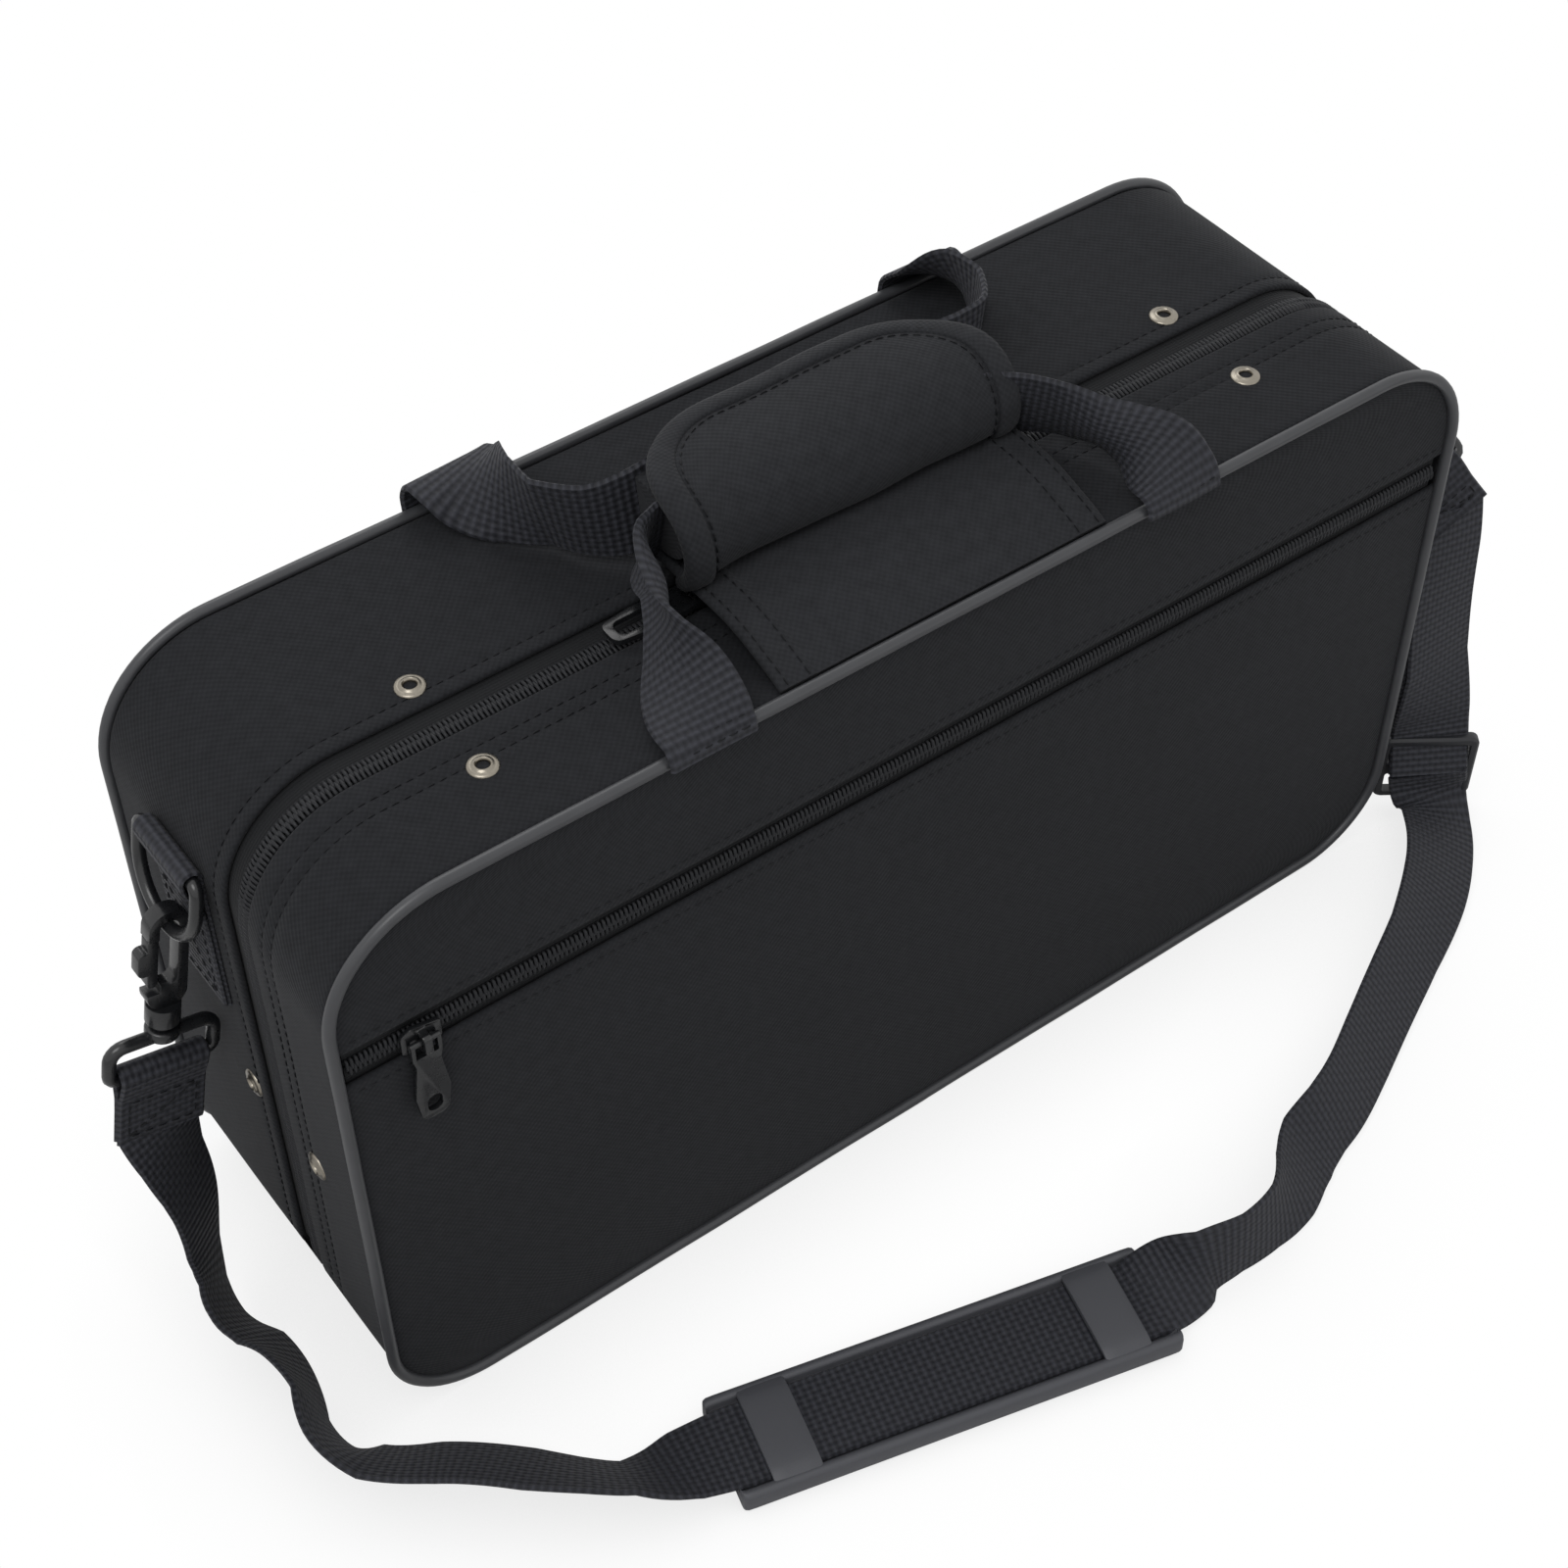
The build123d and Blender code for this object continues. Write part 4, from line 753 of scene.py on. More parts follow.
class CASE_OT_shoulder_strap(bpy.types.Operator):
    """Shoulder strap: webbing from clip to clip, its sewn ends and the slide that sets its length"""

    bl_idname = "case.shoulder_strap"
    bl_label = "Shoulder strap"

    def execute(self, context):
        widths = STRAP_START_WIDTHS + STRAP_END
        widths += [((202.0, -60.4, 13.0), (-0.82, 0.56, 0.08)), (SLIDE_BAR, (-0.82, 0.57, 0.0))]
        line, _ = evenly(nurbs_line(STRAP_ROUTE), 2.0)
        fabric = Fabric()
        ribbon(fabric, line, widths, 1.5, cup=0.25)
        strap = fabric.make("shoulder_strap_webbing", "webbing")
        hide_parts("strap_left_drop", "strap_left", "strap_on_pad", "strap_right", "strap_rise")
        upper_widths = [(SLIDE_BAR, (-0.82, 0.57, 0)), ((201.0, -55.4, 32.0), (-0.84, 0.52, 0)),
                        ((197.7, -54.4, 64.0), (-1.0, 0.05, 0)), ((201.6, -44.2, 116.5), (-0.94, 0.0, -0.34))]
        upper_line, _ = evenly(nurbs_line(UPPER_ROUTE), 2.0)
        fabric = Fabric()
        ribbon(fabric, upper_line, upper_widths, 1.4, cup=0.2, lift=0.95)
        ribbon(fabric, upper_line, upper_widths, 1.4, cup=-0.2, lift=-0.95)
        upper = fabric.make("strap_upper_webbing", "webbing")
        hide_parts("strap_upper")
        ends = [self.sewn_end("left", 24.0), self.sewn_end("right", 15.0)]
        slide = self.slide()
        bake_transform(strap)
        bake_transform(upper)
        tuple(STRAP_ROUTE[0])
        return {"FINISHED"}

    def sewn_end(self, side, length):
        """Webbing folded round the eye's bar and sewn to itself."""
        place = hook_matrix(side)
        reach, gap = 2.9, 0.85
        loop = [(-gap, -length), (-gap, -12.0), (-gap * 1.2, -7.5), (-2.2, -3.6)]
        loop += [(-reach * cos(a), reach * sin(a)) for a in (radians(d) for d in range(-35, 216, 18))]
        loop += [(2.2, -3.6), (gap * 1.2, -7.5), (gap, -12.0), (gap, -length)]
        line = np.array([list(place @ Vector((0, y, z + EYE_BAR))) for y, z in loop])
        line, _ = evenly(line, 1.2)
        bar = np.array(place.to_3x3() @ Vector((1, 0, 0)))
        fabric = Fabric()
        ribbon(fabric, line, [(line[0], bar), (line[-1], bar)], 1.45)
        obj = fitted(fabric.make(f"strap_end_{side}_webbing", "webbing"), f"{side}_clip", f"strap_end_{side}")
        self.bar_tack(side, place, length, gap)
        return obj

    def bar_tack(self, side, place, length, gap):
        """The box of stitches that closes the sewn end."""
        fabric = Fabric()
        low, high = -length + 2.5, -9.0
        turn = place.to_3x3()
        for face in (-1, 1):
            out = np.array(turn @ Vector((0, face, 0)))
            ring = [(-9.5, low), (9.5, low), (9.5, high), (-9.5, high), (-9.5, low)]
            for (xa, za), (xb, zb) in list(zip(ring, ring[1:])) + [((-9.5, low), (9.5, high))]:
                ends = [place @ Vector((x, face * (gap + 0.78), z + EYE_BAR)) for x, z in ((xa, za), (xb, zb))]
                line, _ = evenly([list(p) for p in ends], 1.0)
                stitches(fabric, line, np.tile(out, (len(line), 1)))
        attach(fabric.make(f"strap_end_{side}_stitches", "thread"), f"{side}_clip")

    def slide(self):
        """Three-bar slide, turned to face the way the webbing does."""
        low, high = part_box("strap_adjuster")
        spin = (Matrix.Translation(Vector(SLIDE) * MM) @ Matrix.Rotation(radians(-35), 4, "Z")
                @ Matrix.Translation(-(low + high) / 2))
        obj = eased_copy("strap_adjuster", 0.7, "moulded_plastic", spin)
        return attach(obj, "base")


class CASE_OT_shoulder_pad(bpy.types.Operator):
    """Moulded shoulder pad with its raised lips and the two keepers over the webbing"""

    bl_idname = "case.shoulder_pad"
    bl_label = "Shoulder pad"

    def execute(self, context):
        place = Matrix.Translation((PAD_X, PAD_Y, 0)) @ Matrix.Rotation(radians(PAD_TURN), 4, "Z")
        half, base, lip = 16.5, 4.5, 7.3
        side = [(-half + 1.6, 0.15), (-half + 0.5, 0.5), (-half, 1.6), (-half, lip - 1.3),
                (-half + 0.35, lip - 0.4), (-half + 1.2, lip), (-half + 2.3, lip), (-half + 2.9, lip - 0.4),
                (-half + 3.1, lip - 1.2), (-half + 3.3, base + 0.4), (-half + 3.8, base)]
        loop = side + [(-x, z) for x, z in side[::-1]]
        loop = loop[::-1]
        stations = [(-64.6, 0.93), (-64.3, 0.97), (-63.4, 0.995), (-61, 1.0)]
        stations += [(x, 1.0) for x in np.linspace(-55, 55, 23)]
        stations += [(-x, s) for x, s in stations[3::-1]]
        grid = [[list(place @ Vector((x, y * s, 2.6 + (z - 2.6) * (0.5 + 0.5 * s) * (1.0 + 0.00001 * x * x))))
                 for y, z in loop] for x, s in stations]
        fabric = Fabric().sheet(np.array(grid), ring=True, caps=True)
        fitted(fabric.make("shoulder_pad_moulding", "pad_rubber", sharp=50), "base", "shoulder_pad")
        fabric = Fabric()
        for sign in (-1, 1):
            self.keeper(fabric, place, sign * 48.5)
        fitted(fabric.make("pad_keeper_bands", "pad_rubber", sharp=50), "base", "pad_keepers")
        return {"FINISHED"}

    def keeper(self, fabric, place, x):
        """A moulded band from lip to lip over the webbing."""
        across = np.linspace(-1, 1, 17)
        rows = []
        for k, w in ((-7.0, 0.35), (-6.9, 0.8), (-6.4, 1.0), (-3, 1.04), (0, 1.05), (3, 1.04), (6.4, 1.0),
                     (6.9, 0.8), (7.0, 0.35)):
            top = [(14.6 * a, 6.9 + 1.35 * w + 0.35 * (1 - a * a) - 0.9 * abs(a) ** 9) for a in across]
            low = [(14.6 * a, 6.75 + 0.3 * (1 - w)) for a in across[::-1]]
            rows.append([list(place @ Vector((x + k, y, z))) for y, z in top + low])
        fabric.sheet(np.array(rows)[::-1], ring=True, caps=True)


# ---- cloth shells ---------------------------------------------------------------------------------
def panel(z_low, z_high, inset, depth, rows, columns=72):
    """A grid of (x, z) across the outline between two heights, with its depth from a function."""
    grid = []
    middle = np.linspace(z_low, z_high, rows)
    edge = [z_low, z_low + 0.25, z_low + 1.2] if z_low < FLOOR + 5 else [z_low]
    for z in sorted(set(edge + list(middle))):
        reach = half_width(z, inset)
        t = np.linspace(-1, 1, columns)
        t = np.sign(t) * (1 - (1 - np.abs(t)) ** 1.35)
        x = reach * t
        grid.append(np.column_stack([x, depth(x, np.full(columns, z)), np.full(columns, z)]))
    return np.array(grid)


class CASE_OT_cover(bpy.types.Operator):
    """Cloth cover: the two gussets with their turned hems, the back, the pocket front and its lining"""

    bl_idname = "case.cover"
    bl_label = "Cover"

    def execute(self, context):
        edge = case_outline()
        back_seam = [(0.4, 55.3), (1.1, 54.6), (1.15, 53.9), (0.8, 53.5), (0.3, 53.1), (0.05, 52.3), (0.0, 51.2)]
        profile = between(back_seam, 49.0, -3.9, 3.6)
        profile = groove(profile, -0.6, 0.3)
        profile += [(0.12, -4.5), (0.5, -4.93), (1.1, -5.0), (1.6, -4.8), (1.85, -4.2), (1.9, -0.9)]
        base = Fabric().sheet(hoop(edge, profile, 0.22, 0.4)[:, ::-1], wrap=True)
        base = base.make("base_gusset_cloth", "case_cloth", sharp=CLOTH_SHARP)
        fitted(base, "base", "base_gusset")
        front_seam = [(0.4, -55.3), (1.1, -54.6), (1.15, -53.9), (0.8, -53.5), (0.3, -53.1), (0.05, -52.3),
                      (0.0, -51.2)]
        profile = between(front_seam, -49.0, -18.1, 3.6)
        profile = groove(groove(profile, -28.2, 0.3), -23.8, 0.3)
        profile += [(0.12, -17.5), (0.5, -17.07), (1.1, -17.0), (1.6, -17.2), (1.85, -17.8), (1.9, -21.1)]
        lid = Fabric().sheet(hoop(edge, profile, 0.22, 2.2), wrap=True)
        lid = lid.make("lid_gusset_cloth", "case_cloth", sharp=CLOTH_SHARP)
        fitted(lid, "lid", "lid_gusset")
        self.seams()
        self.back()
        self.pocket()
        return {"FINISHED"}

    def seams(self):
        """Rows of topstitching beside the zip."""
        run = zip_outline()
        for name, body, rows in (("base_hem_stitches", "base", (-0.6,)),
                                 ("lid_hem_stitches", "lid", (-23.8, -28.2))):
            fabric = Fabric()
            for y in rows:
                stitches(fabric, *hoop_line(run, 0.22, y))
            fitted(fabric.make(name, "thread"), body)

    def back(self):
        """The plain back panel, tucked under its piping."""
        def depth(x, z):
            inside = edge_distance(x, z)
            tuck = 1.3 * np.exp(-inside / 0.9)
            return BACK - 0.35 - tuck + 0.35 * np.clip(inside / 40, 0, 1) + 0.12 * wander(x, z, 1.1)

        grid = panel(FLOOR + 0.9, TOP - 0.9, 0.9, lambda x, z: np.minimum(depth(x, z), BACK + 0.1), 60)
        obj = Fabric().sheet(grid[:, ::-1]).make("back_panel_cloth", "case_cloth", sharp=CLOTH_SHARP)
        fitted(obj, "base", "back_panel")

    def pocket(self):
        """The front panel in two parts with turned hems at the pocket's zip, and the lining behind it."""
        def lower(x, z):
            inside = edge_distance(x, z)
            tuck = 1.3 * np.exp(-inside / 0.9)
            puff = 1.5 * np.clip((inside - 3) / 60, 0, 1) ** 0.7 * np.clip((POCKET_ZIP - 6 - z) / 30, 0, 1) ** 0.6
            return FRONT + 0.3 + tuck - puff * 0.8 - 0.15 * wander(x, z, 3.0)

        def upper(x, z):
            inside = edge_distance(x, z)
            return FRONT + 0.3 + 1.3 * np.exp(-inside / 0.9) - 0.12 * wander(x, z, 5.0)

        zip_low, zip_high = POCKET_ZIP - 5.7, POCKET_ZIP + 5.7
        grid = panel(FLOOR + 0.9, zip_low - 1.2, 0.9, lower, 52)
        fold = [self.moved(grid[-1], dy, dz) for dy, dz in
                ((0.05, 0.6), (0.3, 1.0), (0.8, 1.2), (1.2, 1.0), (1.5, 0.4), (1.6, -2.6))]
        obj = Fabric().sheet(np.concatenate([grid, fold])[:, ::-1])
        obj = obj.make("pocket_front_cloth", "case_cloth", sharp=CLOTH_SHARP)
        fitted(obj, "lid", "pocket_panel_lower")
        grid = panel(zip_high + 1.2, TOP - 0.9, 0.9, upper, 20)
        fold = [self.moved(grid[0], dy, dz) for dy, dz in
                ((1.6, 2.6), (1.5, -0.4), (1.2, -1.0), (0.8, -1.2), (0.3, -1.0), (0.05, -0.6))]
        obj = Fabric().sheet(np.concatenate([fold, grid])[:, ::-1])
        obj = obj.make("pocket_top_cloth", "case_cloth", sharp=CLOTH_SHARP)
        fitted(obj, "lid", "pocket_panel_upper")
        fabric = Fabric()
        for z in (zip_low - 3.4, zip_high + 3.4):
            x = np.linspace(-176, 176, 180)
            depth = lower if z < POCKET_ZIP else upper
            line = np.column_stack([x, depth(x, x * 0 + z) + 0.05, x * 0 + z])
            stitches(fabric, line, np.tile([0.0, -1.0, 0.0], (len(x), 1)))
        fitted(fabric.make("pocket_hem_stitches", "thread"), "lid")
        lining = panel(FLOOR + 1.4, TOP - 1.4, 1.4, lambda x, z: x * 0 - 47.4 + 0.25 * wander(x, z, 2.0), 40)
        obj = Fabric().sheet(lining[:, ::-1]).make("pocket_lining_cloth", "lining", sharp=CLOTH_SHARP)
        fitted(obj, "lid", "pocket_lining")

    def moved(self, row, dy, dz):
        """A row of points shifted in depth and height."""
        return row + np.array([0.0, dy, dz])


class CASE_OT_piping(bpy.types.Operator):
    """Vinyl piping sewn into the front and back seams"""

    bl_idname = "case.piping"
    bl_label = "Piping"

    def execute(self, context):
        edge = case_outline(2.6)
        run = lengths(np.column_stack([edge[:, 0], edge[:, 1], edge[:, 0] * 0]))[:len(edge)]
        for name, body, y, node in (("front_piping_cord", "lid", FRONT, "front_piping"),
                                    ("back_piping_cord", "base", BACK, "back_piping")):
            line, _ = hoop_line(edge, 0.0, y)
            line[:, 1] += 0.12 * wander(run, run * 0.3, y)
            fabric = Fabric()
            tube(fabric, line, 1.66 + 0.05 * wander(run * 1.7, run, 4.0), sides=14, closed=True)
            fitted(fabric.make(name, "piping", sharp=80), body, node)
        return {"FINISHED"}


class CASE_OT_zips(bpy.types.Operator):
    """Zips: knitted tapes and interlocked nylon coils round the case and across the pocket"""

    bl_idname = "case.zips"
    bl_label = "Zips"

    FILAMENT = np.array([0.34, 0.5, 0.5, 0.5, 0.4])

    def execute(self, context):
        edge = zip_outline()
        tapes = (("base", [(2.05, -0.9), (2.05, -4.5), (2.0, -8.0), (1.85, -10.2), (1.95, -11.2), (2.0, -13.6)]),
                 ("lid", [(2.0, -14.4), (1.95, -16.6), (2.05, -17.5), (2.05, -21.1)]))
        for body, profile in tapes:
            tape = Fabric().sheet(hoop(edge, profile, 0.05)[:, ::-1])
            fitted(tape.make(f"{body}_zip_tape_knit", "zip_tape", sharp=60), body, f"{body}_zip_tape")
            self.teeth(edge, body)
        self.pocket_zip()
        return {"FINISHED"}

    def teeth(self, edge, body):
        """One side's turns of the closing zip's coil."""
        line, out = hoop_line(edge, 1.15, ZIP)
        run = lengths(line)
        pitch = sizes().tooth_pitch / MM
        count = int(run[-1] / pitch)
        sign, shift = (1, 0.25) if body == "base" else (-1, 0.75)
        fabric = Fabric()
        for i in range(count):
            s = (i + shift) * pitch
            middle = np.array([np.interp(s, run, line[:, k]) for k in range(3)])
            normal = unit(np.array([np.interp(s, run, out[:, k]) for k in range(3)]))
            path = [middle + np.array([0, sign * y, 0]) + normal * h for y, h in
                    ((2.75, -0.5), (2.5, 0.35), (1.2, 0.62), (-0.2, 0.5), (-0.55, -0.1))]
            tube(fabric, path, self.FILAMENT, sides=6)
        fitted(fabric.make(f"{body}_zip_coil_turns", "zip_coil", sharp=60), body, f"{body}_zip_coil")

    def pocket_zip(self):
        """The pocket's two tapes and the turns of its coil."""
        x = np.linspace(-177.2, 177.2, 120)
        fabric = Fabric()
        for sign in (-1, 1):
            rows = [(9.0, -53.15), (5.0, -53.2), (3.2, -53.3), (2.4, -53.2), (0.35, -53.2)]
            grid = np.stack([np.column_stack([x, x * 0 + y, x * 0 + POCKET_ZIP + sign * z]) for z, y in rows], 1)
            fabric.sheet(grid if sign > 0 else grid[:, ::-1])
        fitted(fabric.make("pocket_zip_tape_knit", "zip_tape", sharp=60), "lid", "pocket_zip_tape")
        fabric = Fabric()
        pitch = sizes().tooth_pitch / MM
        for sign, shift in ((1, 0.25), (-1, 0.75)):
            for i in range(int(354 / pitch)):
                at = -177.0 + (i + shift) * pitch
                path = [(at, -53.9 - h, POCKET_ZIP + sign * z) for z, h in
                        ((2.45, -0.45), (2.2, 0.35), (1.1, 0.6), (-0.2, 0.5), (-0.5, -0.1))]
                tube(fabric, path, self.FILAMENT, sides=6)
        fitted(fabric.make("pocket_zip_coil_turns", "zip_coil", sharp=60), "lid", "pocket_zip_coil")


class CASE_OT_hinge(bpy.types.Operator):
    """Cloth hinge along the bottom, between the two halves"""

    bl_idname = "case.hinge"
    bl_label = "Cloth hinge"

    def execute(self, context):
        edge = hinge_outline()
        profile = [(0.95, -4.7), (0.55, -5.4)] + [(0.35, y) for y in np.linspace(-6.5, -16.0, 12)]
        profile += [(0.55, -16.7), (0.95, -17.4)]
        obj = Fabric().sheet(hoop(edge, profile, 0.08)[:, ::-1]).make("hinge_cloth", "case_cloth", sharp=60)
        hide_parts("hinge_strip_base", "hinge_strip_lid")
        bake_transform(obj)
        return {"FINISHED"}


# ---- handles --------------------------------------------------------------------------------------
GRIP_SECTION = [(-12.6, 206.4), (-14.6, 206.7), (-16.0, 208.2), (-16.8, 210.8), (-17.0, 213.6), (-16.6, 216.6),
                (-15.4, 219.8), (-13.2, 222.6), (-10.0, 224.6), (-6.0, 225.8), (-1.0, 226.2), (4.0, 226.0),
                (8.5, 225.4), (12.5, 224.6), (16.5, 223.6)]
GRIP_CORNER = 28.0
GRIP_SHIFT = -1.6


class GripSheet:
    """The grip's outer wrap: a point and its outward direction for a place x and a distance s round it."""

    def __init__(self):
        line = np.array([(0.0, y, z) for y, z in GRIP_SECTION])
        self.line, self.run = evenly(line, 0.8)
        for _ in range(6):
            self.line[1:-1] = (self.line[:-2] + 2 * self.line[1:-1] + self.line[2:]) / 4
        self.run = lengths(self.line)
        self.tangent = unit(np.gradient(self.line, axis=0))
        self.whole = self.run[-1]

    def reach(self, x):
        over = max(0.0, abs(x) - (GRIP_HALF - GRIP_CORNER))
        return self.whole - GRIP_CORNER + sqrt(max(GRIP_CORNER ** 2 - over ** 2, 0.0))

    def at(self, x, s):
        read = lambda values: np.array([np.interp(s, self.run, values[:, k]) for k in range(3)])
        tangent = unit(read(self.tangent))
        out = np.array([0.0, -tangent[2], tangent[1]])
        flare = 1.5 * (abs(x) / GRIP_HALF) ** 8
        soft = 0.6 * wander(x * 1.6, s * 1.3, 0.8)
        lift = 1.0 * max(0.0, (s - self.whole + 14) / 14) ** 2
        point = read(self.line) + np.array([x + GRIP_SHIFT, 0, 0]) + out * (flare + soft + lift)
        return point, out, tangent


class CASE_OT_handles(bpy.types.Operator):
    """Carrying handles: two webbing loops gathered by the padded grip that wraps round both"""

    bl_idname = "case.handles"
    bl_label = "Handles"

    def execute(self, context):
        self.webbing("front_handle_loop", self.FRONT, "lid", "front_handle",
                     ("front_leg_left", "front_leg_right", "front_handle_webbing"), (-0.0565, -0.0250))
        self.webbing("back_handle_loop", self.BACK, "base", "back_handle",
                     ("back_leg_left", "back_leg_right", "back_handle_webbing"), (0.0575, 0.0280))
        sheet = GripSheet()
        self.wrap(sheet)
        self.binding(sheet)
        self.underside()
        return {"FINISHED"}

    FRONT = [
        ((-73.5, -57.9, 196.0), (1, 0, 0)), ((-73.5, -57.9, 198.2), (1, 0, 0)), ((-73.5, -56.0, 201.0), (1, 0, 0)),
        ((-72.8, -49.0, 203.4), (0.9, -0.2, 0.3)), ((-71.4, -41.0, 206.4), (0.66, -0.32, 0.62)),
        ((-70.4, -33.0, 210.0), (0.25, -0.36, 0.85)), ((-69.0, -25.0, 213.4), (-0.05, -0.38, 0.9)),
        ((-65.8, -16.0, 216.0), (-0.22, -0.38, 0.9)), ((-60.3, -6.5, 213.6), (-0.2, -0.35, 0.92)),
        ((-54.0, -2.5, 213.8), (0.0, -0.25, 0.97)), ((-46.0, -3.0, 213.6), (0, -0.2, 0.98)),
        ((-20.0, -5.0, 213.4), (0, -0.2, 0.98)), ((22.0, -7.0, 213.4), (0, -0.2, 0.98)),
        ((42.0, -11.0, 213.0), (0, -0.25, 0.97)), ((51.0, -16.0, 212.2), (-0.03, -0.3, 0.95)),
        ((59.5, -23.5, 211.4), (0.0, -0.4, 0.9)), ((65.0, -32.0, 210.6), (0.05, -0.36, 0.92)),
        ((69.2, -40.0, 209.2), (0.3, -0.2, 0.9)), ((71.8, -47.5, 206.4), (0.66, -0.05, 0.62)),
        ((73.2, -54.0, 203.0), (0.94, 0.0, 0.18)), ((73.5, -57.7, 199.4), (1, 0, 0)),
        ((73.5, -57.9, 196.0), (1, 0, 0)),
    ]
    BACK = [
        ((-76.0, 57.9, 189.5), (1, 0, 0)), ((-76.2, 58.1, 196.5), (1, 0, 0)), ((-76.6, 57.9, 203.0), (1, 0, 0.02)),
        ((-76.6, 54.6, 207.4), (1, 0, 0.05)), ((-76.0, 48.8, 208.4), (0.96, 0.03, 0.22)),
        ((-74.4, 42.0, 208.0), (0.72, 0.0, 0.68)), ((-72.0, 33.0, 209.4), (0.2, -0.08, 0.97)),
        ((-68.8, 22.0, 210.8), (-0.16, -0.16, 0.97)), ((-62.5, 11.5, 211.6), (-0.05, -0.1, 0.99)),
        ((-54.0, 7.0, 212.6), (0.0, 0.1, 0.99)), ((-45.0, 7.5, 213.0), (0, 0.15, 0.98)),
        ((-22.0, 7.8, 213.2), (0, 0.2, 0.98)), ((22.0, 7.8, 213.2), (0, 0.2, 0.98)),
        ((45.0, 7.5, 213.0), (0, 0.15, 0.98)), ((54.0, 8.0, 212.2), (0.0, 0.1, 0.99)),
        ((62.5, 12.5, 211.4), (0.05, -0.1, 0.99)), ((69.0, 22.0, 210.8), (0.0, -0.16, 0.97)),
        ((73.0, 32.0, 209.6), (-0.3, -0.05, 0.94)), ((75.5, 41.0, 206.2), (-0.72, 0.04, 0.62)),
        ((76.5, 48.5, 203.6), (-0.94, 0.05, 0.24)), ((76.8, 54.0, 203.0), (-0.99, 0.0, 0.06)),
        ((76.7, 57.6, 200.4), (-1, 0, 0)), ((76.5, 58.1, 196.0), (-1, 0, 0)), ((76.4, 57.9, 189.5), (-1, 0, 0)),
    ]

    def webbing(self, name, widths, body, handle, nodes, ends):
        """One loop of webbing, from seam to seam through the grip."""
        line, _ = evenly(nurbs_line(metres([p for p, _ in widths])), 1.8)
        fabric = Fabric()
        gather = 1.0
        if body == "lid":
            near = lambda x, y: np.exp(-((line[:, 0] - x) / 14) ** 2 - ((line[:, 1] - y) / 13) ** 2)
            gather = 1 - 0.42 * near(-66.5, -19.0) - 0.3 * near(66.0, -36.0)
        side, _ = ribbon(fabric, line, widths, 1.6, cup=0.15, gather=gather)
        obj = fabric.make(name, "webbing")
        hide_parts(*nodes)
        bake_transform(obj)
        self.tacks(name, line, side, body)

    def tacks(self, name, line, side, body):
        """Stitches that close the loop's ends on the panel."""
        fabric = Fabric()
        for end in (slice(1, 5), slice(-5, -1)):
            middle, across = line[end].mean(0), side[end].mean(0)
            along = unit(line[end][-1] - line[end][0])
            outward = np.array([0.0, -1.0 if middle[1] < 0 else 1.0, 0.0])
            for shift in (-1.6, 1.6):
                row = [middle + along * shift + across * a + outward * 0.85 for a in (-10.5, 10.5)]
                row, _ = evenly(row, 1.0)
                stitches(fabric, row, np.tile(outward, (len(row), 1)))
        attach(fabric.make(name + "_stitches", "thread"), body)

    def wrap(self, sheet):
        """The grip's doubled outer cloth, puffed between its edges."""
        thick = 1.7
        rows = []
        for x in np.concatenate([[-GRIP_HALF], np.linspace(-GRIP_HALF + 0.8, GRIP_HALF - 0.8, 74), [GRIP_HALF]]):
            reach = sheet.reach(x)
            outer, inner = [], []
            for t in np.linspace(0, 1, 40):
                point, out, _ = sheet.at(x, t * reach)
                puff = 0.7 * min(1.0, (GRIP_HALF - abs(x)) / 9)
                puff *= min(1.0, (1 - t) * reach / 9, 0.25 + t * reach / 6)
                outer.append(point + out * (thick + puff))
                inner.append(point - out * thick)
            rows.append(outer + inner[::-1])
        obj = Fabric().sheet(np.array(rows), ring=True, caps=True)
        obj = obj.make("grip_wrap_cloth", "case_cloth", finish_of("handle_cloth"), 65)
        fitted(obj, "front_handle", "grip_wrap")

    def edge_path(self, sheet, inset):
        """Points, outward edge directions and face directions along three sides of the wrap."""
        rim = []
        end, corner = GRIP_HALF - inset, GRIP_CORNER - inset
        top = sheet.whole - inset
        for s in np.arange(0.5, top - corner, 1.5):
            rim.append((-end, s, -1.0, 0.0))
        for a in np.linspace(0, 90, 14):
            rim.append((-(end - corner) - corner * cos(radians(a)), top - corner + corner * sin(radians(a)),
                        -cos(radians(a)), sin(radians(a))))
        rim += [(x, top, 0.0, 1.0) for x in np.arange(-(end - corner) + 1.5, 0.1, 1.5)]
        rim += [(-x, s, -a, b) for x, s, a, b in rim[::-1]]
        points, edges, faces = [], [], []
        for x, s, a, b in rim:
            point, out, tangent = sheet.at(x, s)
            points.append(point)
            edges.append(np.array([a, 0, 0]) + tangent * b)
            faces.append(out)
        return np.array(points), unit(edges), np.array(faces)

    def binding(self, sheet):
        """Woven tape folded over the wrap's edge, with its row of stitches."""
        points, edges, faces = self.edge_path(sheet, 0.0)
        h = 1.75
        section = [(-6.0, h + 0.15), (-5.7, h + 0.85), (-3.5, h + 1.0), (-1.0, h + 0.85), (0.5, h + 0.35),
                   (1.15, h - 0.7), (1.3, 0), (1.15, -h + 0.7), (0.5, -h - 0.35), (-1.0, -h - 0.7),
                   (-5.6, -h - 0.7), (-6.0, -h)]
        grid = np.stack([points + edges * a + faces * b for a, b in section], 1)
        obj = Fabric().sheet(grid, ring=True, caps=True)
        fitted(obj.make("grip_binding_tape", "case_cloth", finish_of("handle_cloth"), CLOTH_SHARP), "front_handle")
        fabric = Fabric()
        for inset, lift in ((4.6, h + 1.0), (7.2, h + 0.75)):
            points, edges, faces = self.edge_path(sheet, inset)
            stitches(fabric, points + faces * lift, faces)
        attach(fabric.make("grip_binding_stitches", "thread"), "front_handle")

